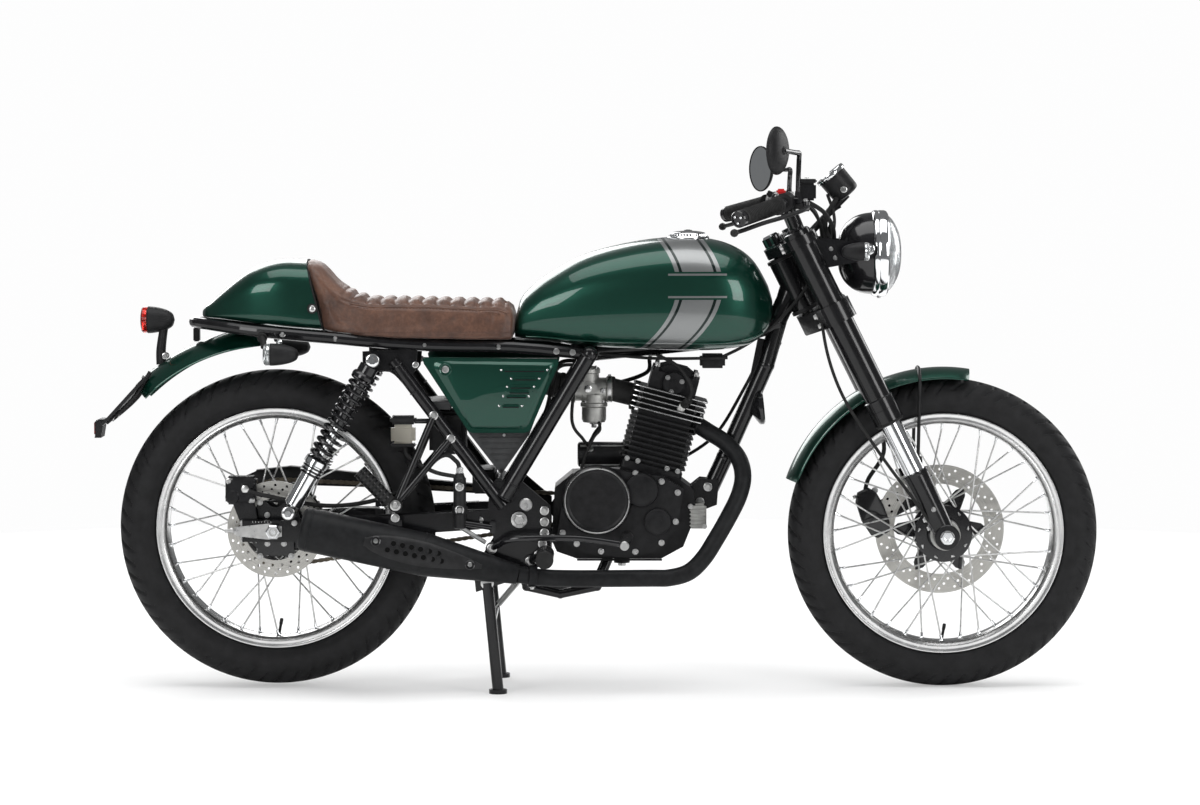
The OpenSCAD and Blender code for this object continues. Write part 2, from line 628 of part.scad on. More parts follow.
module front_axle() color("silver") bike() steering() difference() {
    union() {
        across(yoke_offset, 0, 0, axle_r, 2 * (fork_y + clamp_half + 8));
        both_sides() across(yoke_offset, fork_y + clamp_half + 4, 0, 14, 7);
        spacer(yoke_offset, 0, disc_y - disc_t / 2 + seat_gap, fork_y - clamp_half - seat_gap);
        spacer(yoke_offset, 0, -fork_y + clamp_half + seat_gap, -hub_half - seat_gap);
    }
    across(yoke_offset, 0, 0, axle_bore_r, 400);
}

grip_in = [995, 215, 968];
grip_out = [909, bar_half, 941.5];
bar_mid = [1014, 0, 976];
module handlebar() color("#151515") bike() {
    d = unit(grip_out - grip_in);
    half = concat(smooth([bar_mid, [1015, 60, 976], [1013, 130, 976], [1006, 180, 973], grip_in], 3),
        [grip_out - d * 14]);
    other = [for (i = [len(half) - 1:-1:1]) [half[i].x, -half[i].y, half[i].z]];
    sweep(concat(other, half), bar_r, n = 14);
    both_sides() rod(grip_out - d * 13, grip_out, grip_r);
}

module grips() color("#101010") bike() both_sides() {
    d = unit(grip_out - grip_in);
    difference() {
        rod(grip_in + d * 8, grip_out - d * 14, grip_r);
        rod(grip_in, grip_out, bar_r + seat_gap);
    }
}

perch = [1010, 178, 973];
lever_end = [902, bar_half + 5, 916];
module hand_controls() color("#171717") bike() {
    both_sides() {
        difference() {
            rod(perch + [4, -34, 0], perch + [-4, 14, -1], 19);
            rod(perch + [8, -60, 0], perch + [-8, 60, -2], bar_r + 2);
        }
        rod(perch + [14, -14, -4], perch + [40, -6, -8], 8);
        tubes([perch + [40, -12, -8], perch + [34, 40, -14], [960, 290, 934], lever_end], 5);
        translate(lever_end) sphere(8);
    }
    // brake fluid reservoir
    translate([1034, -168, 972]) cube([34, 56, 46]);
}

module mirror_on(side, c, stem) {
    n = [-0.89, -side * 0.45, 0];
    rod(c + n * 5, c, mirror_r);
    rod(c, c - n * 12, mirror_r, mirror_r * 0.6);
    foot = perch_at(side) + [22, -side * 8, 0];
    sweep(smooth([foot, foot + [1, 0, stem * 0.5], foot + [2, side * 4, stem - 4], c - n * 8], 3), 5,
        ref = [1, 0, 0], n = 10);
}
function perch_at(side) = [perch.x, side * perch.y, perch.z];
module mirrors() color("#141414") bike() {
    mirror_on(-1, [991, -230, 1073], 99);
    mirror_on(1, [980, 240, 1037], 66);
}

dial = [1122, 0, 1007];
dial_n = [-0.647, 0, 0.763];
module speedometer() color("#161616") bike() {
    rod(dial - dial_n * 29, dial + dial_n * 22, speedo_r - 3);
    rod(dial + dial_n * 20, dial + dial_n * 29, speedo_r);
    rod(steer_point(yoke_offset + 24, 0, head_high + 14), dial - dial_n * 26, 8);
}

lamp = [1207, 0, 869];
module headlight() color("#191919") bike() {
    translate([0, 0, lamp.z]) rotate([0, 90, 0]) rotate_extrude() polygon([[0, 1122], [34, 1124], [58, 1136],
        [74, 1156], [headlight_r - 5, 1186], [headlight_r, 1194], [headlight_r, 1214],
        [headlight_r - 8, 1220], [headlight_r - 26, 1236], [headlight_r - 52, 1245], [0, 1248]]);
    both_sides() {
        plate([[1062, 896], [1184, 890], [1190, 868], [1092, 842]], headlight_r + 3, 4);
        across(1178, headlight_r + 4, 879, 7, 24);
    }
}

module front_indicators() color("#181818") bike() both_sides() {
    translate([0, 158, 876]) bullet(1174, 1118, 18.5);
    rod([1140, 146, 876], [1136, headlight_r + 7 + seat_gap, 878], 6);
}

front_fender_r = front_tyre_r + 22;
module front_fender() color("#12402e") bike() {
    fender(wheelbase, front_axle_z, front_fender_r, 20, 112, 3, 81, 161);
    steering() both_sides() rod([yoke_offset, 48, front_fender_r - 12],
        [yoke_offset, fork_y - fork_tube_r - seat_gap, front_fender_r - 12], 9);
}

module front_caliper() color("#202020") bike() steering() {
    difference() {
        translate([yoke_offset - 133, disc_y - 14, 50]) cube([58, 34, 84]);
        across(yoke_offset, disc_y, 0, front_disc_r + 5, disc_t + 10);
    }
    translate([yoke_offset - 80, disc_y + 12, 62]) cube([70, 8, 40]);
}

// --- Wheels --------------------------------------------------------------------------------

module at_wheel(front) translate([front ? wheelbase : 0, 0, front ? front_axle_z : rear_axle_z])
    rotate([90, 0, 0]) children();

// Profiles are [radius, distance along the axle]
module rim(w) rotate_extrude($fn = 96) polygon([for (p = [[rim_bed_r, w / 2 - 10], [rim_r - 15, w / 2],
    [rim_r, w / 2], [rim_r, w / 2 - 3.5], [rim_r - 12, w / 2 - 3.5], [rim_bed_r + 4, w / 2 - 13]]) p,
    for (p = [[rim_bed_r + 4, w / 2 - 13], [rim_r - 12, w / 2 - 3.5], [rim_r, w / 2 - 3.5], [rim_r, w / 2],
    [rim_r - 15, w / 2], [rim_bed_r, w / 2 - 10]]) [p[0], -p[1]]]);

module tyre(r, w, rim_w) {
    mid = (rim_r + r) / 2 - 6;
    wall = [[rim_bed_r + 4 + seat_gap, rim_w / 2 - 14], [rim_r - 12, rim_w / 2 - 4.2],
        [rim_r + 1, rim_w / 2 - 4.2], [rim_r + 3, rim_w / 2 + 1]];
    crown = [for (a = [0:12:84]) [mid + (r - mid) * sin(a), w / 2 * cos(a)]];
    half = concat(wall, crown);
    rotate_extrude($fn = 96) polygon(concat(half, [[r, 0]],
        [for (i = [len(half) - 1:-1:0]) [half[i][0], -half[i][1]]]));
}

// Laced spokes: on each flange every second spoke leans forward and the others back
module spokes() {
    per_flange = spoke_count / 2;
    step = 360 / per_flange;
    for (side = [-1, 1]) for (k = [0:per_flange - 1]) {
        lean = k % 2 == 0 ? 1 : -1;
        a = k * step + (side > 0 ? step / 2 : 0);
        b = a + lean * 3 * step;
        y = side * (hub_flange_y + lean * (hub_flange_t / 2 + spoke_r - 0.6));
        rod([spoke_hole_r * cos(a), spoke_hole_r * sin(a), y],
            [(rim_bed_r + 2) * cos(b), (rim_bed_r + 2) * sin(b), side * 7], spoke_r);
    }
}

module hub(disc_side, sprocket) difference() {
    union() {
        cylinder(h = 2 * hub_half, r = 22, center = true);
        cylinder(h = 2 * hub_flange_y, r = 33, center = true);
        for (side = [-1, 1]) translate([0, 0, side * hub_flange_y])
            cylinder(h = hub_flange_t, r = hub_flange_r, center = true);
        // seat for the disc: local Z is -Y
        translate([0, 0, disc_side > 0 ? -disc_y + disc_t / 2 : hub_half - 10])
            cylinder(h = disc_y - disc_t / 2 - hub_half + 10, r = 40);
        if (sprocket) translate([0, 0, -chain_y - sprocket_t / 2]) {
            cylinder(h = chain_y + sprocket_t / 2 - hub_half + 8, r = 38);
            cylinder(h = sprocket_t, r = sprocket_r);
        }
    }
    cylinder(h = 400, r = axle_r + fit, center = true);
}

module disc(r, y) translate([0, 0, -y]) difference() {
    cylinder(h = disc_t, r = r, center = true);
    cylinder(h = disc_t + 2, r = 24, center = true);
    for (k = [0:5]) rotate(60 * k) translate([r - 52, 0, 0]) cylinder(h = disc_t + 2, r = 13, center = true);
}

module front_tyre() color("#141414") bike() at_wheel(true) tyre(front_tyre_r, front_tyre_w, front_rim_w);
module front_rim() color("#b8bbbd") bike() at_wheel(true) rim(front_rim_w);
module front_spokes() color("#c4c6c8") bike() at_wheel(true) spokes();
module front_hub() color("#191919") bike() at_wheel(true) hub(1, false);
module front_disc() color("#9a9a98") bike() at_wheel(true) disc(front_disc_r, disc_y);
module rear_tyre() color("#141414") bike() at_wheel(false) tyre(rear_tyre_r, rear_tyre_w, rear_rim_w);
module rear_rim() color("#b8bbbd") bike() at_wheel(false) rim(rear_rim_w);
module rear_spokes() color("#c4c6c8") bike() at_wheel(false) spokes();
module rear_hub() color("#191919") bike() at_wheel(false) hub(-1, true);
module rear_disc() color("#9a9a98") bike() at_wheel(false) disc(rear_disc_r, -disc_y);

// --- Centre stand --------------------------------------------------------------------------

module centre_stand() color("#151515") bike() {
    foot_x = stand_pivot_x + stand_foot_ahead;
    across(stand_pivot_x, 0, stand_pivot_z, stand_pin_r, 2 * stand_half + 4);
    across(stand_pivot_x, 0, stand_pivot_z, 14, 2 * (plate_y[0] - 1));
    both_sides() {
        across(stand_pivot_x, (plate_face + stand_half + 5) / 2, stand_pivot_z, 13,
            stand_half + 3 - plate_face);
        rod([stand_pivot_x, stand_half, stand_pivot_z], [foot_x, stand_half, foot_t], stand_tube_r);
        translate([foot_x, stand_half, 0]) cylinder(h = foot_t + 2, r = foot_r);
    }
    across(stand_pivot_x + 8, 0, stand_pivot_z - 78, 9, 2 * stand_half);
}

// --- Drawing -------------------------------------------------------------------------------

frame();
subframe();
swingarm();
rear_axle();
shock_absorbers();
crankcase();
cylinder_barrel();
engine_covers();
carburettor();
airbox();
exhaust_pipe();
muffler();
fuel_tank();
fuel_cap();
seat();
tail_cowl();
side_covers();
rear_fender();
tail_light();
rear_indicators();
plate_bracket();
footpegs();
passenger_pegs();
foot_controls();
rear_brake();
chain();
chain_guard();
triple_clamps();
fork_tubes();
fork_legs();
axle_clamps();
front_axle();
handlebar();
grips();
hand_controls();
mirrors();
speedometer();
headlight();
front_indicators();
front_fender();
front_caliper();
front_tyre();
front_rim();
front_spokes();
front_hub();
front_disc();
rear_tyre();
rear_rim();
rear_spokes();
rear_hub();
rear_disc();
centre_stand();
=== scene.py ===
"""Looks of the cafe racer motorcycle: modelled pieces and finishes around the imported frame.

Lengths in calls are millimetres in the bike's own axes: x forward from the rear axle, y to the
rider's left, z up from the floor. at() turns them into the frame's metres.
"""
import json
import math

import bmesh
import bpy
import numpy as np
from mathutils import Matrix, Vector
from mathutils.bvhtree import BVHTree


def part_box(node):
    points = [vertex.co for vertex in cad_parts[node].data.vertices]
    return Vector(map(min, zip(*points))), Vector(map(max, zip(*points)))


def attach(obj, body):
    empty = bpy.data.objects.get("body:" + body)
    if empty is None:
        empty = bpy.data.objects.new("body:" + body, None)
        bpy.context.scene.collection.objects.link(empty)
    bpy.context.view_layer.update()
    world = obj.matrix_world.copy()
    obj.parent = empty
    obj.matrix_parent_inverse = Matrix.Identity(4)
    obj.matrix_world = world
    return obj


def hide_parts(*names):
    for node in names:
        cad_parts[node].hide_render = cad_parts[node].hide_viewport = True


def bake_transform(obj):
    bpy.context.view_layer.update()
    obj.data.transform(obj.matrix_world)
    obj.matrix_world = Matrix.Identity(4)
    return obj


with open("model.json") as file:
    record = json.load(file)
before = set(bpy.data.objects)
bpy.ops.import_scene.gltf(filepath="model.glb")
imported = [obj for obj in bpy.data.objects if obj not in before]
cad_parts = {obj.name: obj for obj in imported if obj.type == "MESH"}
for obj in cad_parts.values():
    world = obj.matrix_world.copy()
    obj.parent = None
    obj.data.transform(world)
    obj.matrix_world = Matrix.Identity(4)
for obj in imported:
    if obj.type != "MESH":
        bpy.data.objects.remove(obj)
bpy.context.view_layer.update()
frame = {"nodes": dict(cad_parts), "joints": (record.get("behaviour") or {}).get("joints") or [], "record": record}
MM = 0.001


# ---------------------------------------------------------------- places from the frame

def middle(node):
    low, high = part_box(node)
    return (low + high) / 2


REAR = middle("rear_tyre")
FRONT = middle("front_tyre")
REAR_Z = REAR.z / MM
FRONT_Z = FRONT.z / MM
REAR_R = REAR_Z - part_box("rear_tyre")[0].z / MM
FRONT_R = FRONT_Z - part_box("front_tyre")[0].z / MM
RIM_R = (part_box("front_rim")[1].z - FRONT.z) / MM
STEER = next(j for j in frame["joints"] if j["name"] == "steer")
STEER_AXIS = Vector(STEER["axis"]).normalized()
STEER_FOOT = Vector(STEER["pos_m"])
STEER_AHEAD = Vector((STEER_AXIS.z, 0, -STEER_AXIS.x))


def at(x, y, z):
    """Frame point, in metres, of a bike point in millimetres."""
    return Vector((REAR.x + x * MM, y * MM, z * MM))


def steer_at(x, y, z):
    """Frame point of a point counted along the steering axis."""
    return STEER_FOOT + (STEER_AHEAD * x + STEER_AXIS * z + Vector((0, y, 0))) * MM


def off(point, x, y, z):
    """Frame point at an offset in millimetres from another one."""
    return np.asarray(point) + np.array([x, y, z]) * MM


def turns(count, phase=0.0):
    """Angles that divide a full turn evenly."""
    return [2 * math.pi * k / count + phase for k in range(count)]


# ---------------------------------------------------------------- materials

class Nodes:
    """Small wrapper that adds shader nodes to one material."""

    def __init__(self, name, **values):
        self.mat = bpy.data.materials.new(name)
        self.mat.use_nodes = True
        self.tree = self.mat.node_tree
        self.bsdf = self.tree.nodes["Principled BSDF"]
        self.place = None
        self.set(**values)

    def set(self, **values):
        for key, value in values.items():
            socket = self.bsdf.inputs[key.replace("_", " ")]
            if isinstance(value, (tuple, list)) and len(value) == 3:
                value = (*value, 1.0)
            socket.default_value = value

    def add(self, kind, **props):
        node = self.tree.nodes.new(kind)
        for key, value in props.items():
            if key in node.bl_rna.properties:
                setattr(node, key, value)
            else:
                node.inputs[key.replace("_", " ")].default_value = value
        return node

    def link(self, out, into):
        self.tree.links.new(out, into)

    def position(self):
        if self.place is None:
            self.place = self.add("ShaderNodeTexCoord").outputs["Object"]
        return self.place

    def noise(self, scale, detail=3.0, rough=0.5, vector=None):
        node = self.add("ShaderNodeTexNoise", Scale=scale, Detail=detail, Roughness=rough)
        self.link(vector or self.position(), node.inputs["Vector"])
        return node.outputs["Fac"]

    def ramp(self, fac, stops):
        node = self.add("ShaderNodeValToRGB")
        ramp = node.color_ramp
        while len(ramp.elements) < len(stops):
            ramp.elements.new(0.5)
        for element, (place, colour) in zip(ramp.elements, stops):
            element.position = place
            element.color = (*colour, 1.0) if len(colour) == 3 else colour
        self.link(fac, node.inputs["Fac"])
        return node.outputs["Color"]

    def math(self, op, a, b=None, c=None, clamp=False):
        node = self.add("ShaderNodeMath", operation=op, use_clamp=clamp)
        for i, value in enumerate((a, b, c)):
            if value is None:
                continue
            if isinstance(value, (int, float)):
                node.inputs[i].default_value = value
            else:
                self.link(value, node.inputs[i])
        return node.outputs[0]

    def mix(self, fac, a, b):
        node = self.add("ShaderNodeMix", data_type="RGBA")
        for socket, value in ((node.inputs[0], fac), (node.inputs[6], a), (node.inputs[7], b)):
            if isinstance(value, (int, float)):
                socket.default_value = value
            elif isinstance(value, tuple):
                socket.default_value = (*value, 1.0)
            else:
                self.link(value, socket)
        return node.outputs[2]

    def bump(self, height, strength, distance=0.001):
        node = self.add("ShaderNodeBump", Strength=strength, Distance=distance)
        self.link(height, node.inputs["Height"])
        self.link(node.outputs["Normal"], self.bsdf.inputs["Normal"])
        return node

    def colour(self, out):
        self.link(out, self.bsdf.inputs["Base Color"])

    def rough(self, fac, low, high):
        node = self.add("ShaderNodeMapRange")
        node.inputs["To Min"].default_value = low
        node.inputs["To Max"].default_value = high
        self.link(fac, node.inputs["Value"])
        self.link(node.outputs[0], self.bsdf.inputs["Roughness"])


def mottled(name, dark, light, rough, metallic=0.0, scale=60, bump=0.0, bump_scale=400, coat=0.0, spec=0.5):
    """Plain surface with a slight change of tone and gloss, and a fine bump."""
    n = Nodes(name, Metallic=metallic, Coat_Weight=coat, Coat_Roughness=0.06, Specular_IOR_Level=spec)
    blotch = n.noise(scale, 4.0, 0.6)
    n.colour(n.ramp(blotch, [(0.3, dark), (0.75, light)]))
    n.rough(blotch, rough[0], rough[1])
    if bump:
        n.bump(n.noise(bump_scale, 3.0, 0.6), bump, 0.0006)
    return n.mat


def green_paint(name, stripes=False):
    """Dark metallic green under lacquer; the tank also carries its silver band."""
    n = Nodes(name, Metallic=0.72, Coat_Weight=0.75, Coat_Roughness=0.02, Coat_IOR=1.45,
              Specular_IOR_Level=0.3)
    flake = n.noise(2600, 2.0, 0.7)
    green = n.ramp(flake, [(0.32, (0.002, 0.026, 0.017)), (0.7, (0.006, 0.066, 0.043))])
    n.rough(n.noise(900, 2.0), 0.27, 0.38)
    if not stripes:
        n.colour(green)
        return n.mat
    split = n.add("ShaderNodeSeparateXYZ")
    n.link(n.position(), split.inputs[0])
    x, z = split.outputs["X"], split.outputs["Z"]
    # the band's centre line bows forward at mid height
    mid_x, mid_z, bow = REAR.x + 0.842, 0.808, 4.55
    dz = n.math("SUBTRACT", z, mid_z)
    across = n.math("ABSOLUTE",
                    n.math("ADD", n.math("SUBTRACT", x, mid_x),
                           n.math("MULTIPLY", n.math("MULTIPLY", dz, dz), bow)))

    def inside(v, low, high):
        return n.math("MULTIPLY", n.math("GREATER_THAN", v, low), n.math("LESS_THAN", v, high))

    broken = n.math("GREATER_THAN", n.math("ABSOLUTE", dz), 0.0275)
    wide = n.math("MULTIPLY", n.math("LESS_THAN", across, 0.031), broken)
    thin = n.math("MULTIPLY", inside(across, 0.037, 0.0455), broken)
    dark = n.math("MULTIPLY", inside(across, 0.031, 0.037), broken)
    bars = n.math("MULTIPLY", inside(n.math("ABSOLUTE", dz), 0.0200, 0.0240),
                  inside(n.math("ABSOLUTE", n.math("SUBTRACT", x, mid_x - 0.004)), -1.0, 0.058))
    silver = n.math("MAXIMUM", n.math("MAXIMUM", wide, thin), bars)
    base = n.mix(dark, green, (0.004, 0.012, 0.010))
    n.colour(n.mix(silver, base, n.ramp(flake, [(0.3, (0.16, 0.165, 0.165)), (0.7, (0.27, 0.28, 0.28))])))
    return n.mat


def leather():
    n = Nodes("leather_brown", Specular_IOR_Level=0.42, Sheen_Weight=0.12, Sheen_Roughness=0.5)
    cells = n.add("ShaderNodeTexVoronoi", Scale=430.0)
    n.link(n.position(), cells.inputs["Vector"])
    cloud = n.noise(26, 5.0, 0.65)
    fine = n.noise(190, 4.0, 0.7)
    tone = n.math("ADD", n.math("MULTIPLY", cloud, 0.65), n.math("MULTIPLY", fine, 0.35))
    n.colour(n.ramp(tone,
                    [(0.34, (0.040, 0.017, 0.010)), (0.52, (0.082, 0.036, 0.021)),
                     (0.72, (0.150, 0.070, 0.041))]))
    n.rough(fine, 0.36, 0.56)
    grain = n.math("ADD", n.math("MULTIPLY", cells.outputs["Distance"], 0.8),
                   n.math("MULTIPLY", n.noise(800, 3.0, 0.7), 0.5))
    n.bump(grain, 0.35, 0.0007)
    return n.mat


def tyre_rubber():
    n = Nodes("tyre_rubber", Specular_IOR_Level=0.2)
    dust = n.noise(40, 5.0, 0.65)
    n.colour(n.ramp(dust, [(0.3, (0.006, 0.006, 0.0064)), (0.8, (0.016, 0.016, 0.017))]))
    n.rough(dust, 0.52, 0.72)
    n.bump(n.noise(1500, 3.0, 0.6), 0.25, 0.0004)
    return n.mat


def turned(name, colour, rough, axle, scale=700):
    """Metal with fine turning marks round an axle that runs along Y."""
    n = Nodes(name, Metallic=1.0)
    split = n.add("ShaderNodeSeparateXYZ")
    shift = n.add("ShaderNodeVectorMath", operation="SUBTRACT")
    n.link(n.position(), shift.inputs[0])
    shift.inputs[1].default_value = axle
    n.link(shift.outputs[0], split.inputs[0])
    x, z = split.outputs["X"], split.outputs["Z"]
    radius = n.math("SQRT", n.math("ADD", n.math("MULTIPLY", x, x), n.math("MULTIPLY", z, z)))
    marks = n.add("ShaderNodeTexNoise", noise_dimensions="1D", Scale=scale, Detail=4.0)
    n.link(radius, marks.inputs["W"])
    tone = n.ramp(marks.outputs["Fac"], [(0.3, tuple(c * 0.72 for c in colour)), (0.7, colour)])
    n.colour(tone)
    n.rough(marks.outputs["Fac"], rough - 0.08, rough + 0.08)
    n.bump(marks.outputs["Fac"], 0.18, 0.0003)
    return n.mat


def lens(name, colour, rough=0.03):
    n = Nodes(name, Base_Color=colour, Transmission_Weight=0.85, IOR=1.46, Roughness=rough, Coat_Weight=0.5)
    n.bump(n.noise(240, 1.0), 0.03, 0.0004)
    n.mat.blend_method = "BLEND"
    return n.mat


M = {
    "green": green_paint("paint_green"),
    "tank": green_paint("paint_green_striped", True),
    "frame": mottled("enamel_frame_black", (0.004, 0.004, 0.0045), (0.009, 0.009, 0.010), (0.16, 0.28),
                     coat=0.22, bump=0.04, spec=0.25),
    "black": mottled("enamel_gloss_black", (0.006, 0.006, 0.007), (0.012, 0.012, 0.013), (0.12, 0.22),
                     coat=0.4, spec=0.3),
    "fork": mottled("anodised_black", (0.005, 0.005, 0.0055), (0.010, 0.010, 0.011), (0.16, 0.26),
                    coat=0.22, bump=0.04, spec=0.25),
    "satin": mottled("satin_black", (0.010, 0.010, 0.0105), (0.020, 0.020, 0.021), (0.34, 0.46), bump=0.12,
                     bump_scale=900, spec=0.2),
    "engine": mottled("casting_black", (0.005, 0.005, 0.0055), (0.013, 0.013, 0.014), (0.27, 0.42),
                      bump=0.25, bump_scale=1100, spec=0.2),
    "exhaust": mottled("heat_paint_black", (0.006, 0.0063, 0.0068), (0.014, 0.0145, 0.0155), (0.4, 0.55),
                       bump=0.22, bump_scale=1600, spec=0.15),
    "plastic": mottled("plastic_black", (0.008, 0.008, 0.0085), (0.016, 0.016, 0.017), (0.4, 0.55),
                       bump=0.25, bump_scale=1300, spec=0.2),
    "grey": mottled("plastic_grey", (0.030, 0.031, 0.032), (0.050, 0.051, 0.053), (0.45, 0.6), bump=0.3,
                    bump_scale=1200, spec=0.3),
    "rubber": mottled("rubber_black", (0.009, 0.009, 0.009), (0.020, 0.020, 0.020), (0.55, 0.75), bump=0.3,
                      bump_scale=1400, spec=0.2),
    "chrome": mottled("chrome", (0.72, 0.73, 0.74), (0.86, 0.87, 0.88), (0.05, 0.13), metallic=1.0,
                      scale=30),
    "rim": mottled("alloy_polished", (0.60, 0.60, 0.60), (0.76, 0.76, 0.755), (0.2, 0.32), metallic=1.0,
                   scale=24, bump=0.06),
    "steel": mottled("steel", (0.42, 0.42, 0.42), (0.62, 0.62, 0.61), (0.22, 0.36), metallic=1.0, bump=0.1),
    "alloy": mottled("alloy_cast", (0.30, 0.30, 0.29), (0.46, 0.46, 0.44), (0.36, 0.52), metallic=0.85,
                     bump=0.45, bump_scale=900),
    "fin_edge": mottled("machined_edge", (0.5, 0.5, 0.5), (0.75, 0.75, 0.75), (0.2, 0.32), metallic=1.0),
    "chain": mottled("chain_steel", (0.07, 0.06, 0.045), (0.17, 0.15, 0.12), (0.3, 0.5), metallic=0.9,
                     bump=0.3),
    "leather": leather(),
    "thread": mottled("thread_brown", (0.05, 0.02, 0.012), (0.10, 0.045, 0.028), (0.6, 0.8), bump=0.5,
                      bump_scale=2000),
    "tyre": tyre_rubber(),
    "front_disc": turned("disc_steel_front", (0.55, 0.54, 0.51), 0.3, FRONT),
    "rear_disc": turned("disc_steel_rear", (0.55, 0.54, 0.51), 0.3, REAR),
    "glass": lens("lens_clear", (0.95, 0.97, 0.98)),
    "red": lens("lens_red", (0.86, 0.03, 0.02), 0.1),
    "fluted": lens("lens_fluted", (0.93, 0.95, 0.96), 0.2),
    "amber": lens("lens_smoke", (0.75, 0.74, 0.7), 0.12),
    "mirror": mottled("mirror_glass", (0.80, 0.82, 0.83), (0.84, 0.86, 0.87), (0.01, 0.03), metallic=1.0),
    "button": mottled("button_red", (0.45, 0.010, 0.012), (0.62, 0.016, 0.016), (0.3, 0.42)),
    # near-black finish for painted shade: it fills the heat shield's holes
    "hole": mottled("hole_painted_shade", (0.0015, 0.0015, 0.0015), (0.003, 0.003, 0.003), (0.7, 0.8), spec=0.1),
    "white": mottled("dial_ink", (0.70, 0.70, 0.68), (0.80, 0.80, 0.78), (0.5, 0.6)),
    "fluid": lens("tank_translucent", (0.72, 0.68, 0.58), 0.35),
}


# ---------------------------------------------------------------- shape builder

def unit(v):
    v = np.asarray(v, float)
    return v / np.linalg.norm(v)


def across_axes(direction):
    d = unit(direction)
    helper = np.array([0, 0, 1.0]) if abs(d[2]) < 0.9 else np.array([1.0, 0, 0])
    side = unit(np.cross(d, helper))
    return side, np.cross(side, d)


def smooth_path(points, steps=8):
    p = [np.asarray(q, float) for q in points]
    out = []
    for i in range(len(p) - 1):
        a, b, c, d = p[max(i - 1, 0)], p[i], p[i + 1], p[min(i + 2, len(p) - 1)]
        for k in range(steps):
            t = k / steps
            out.append(0.5
                       * (2 * b + (c - a) * t + (2 * a - 5 * b + 4 * c - d) * t ** 2
                          + (3 * b - a - 3 * c + d) * t ** 3))
    out.append(p[-1])
    return out


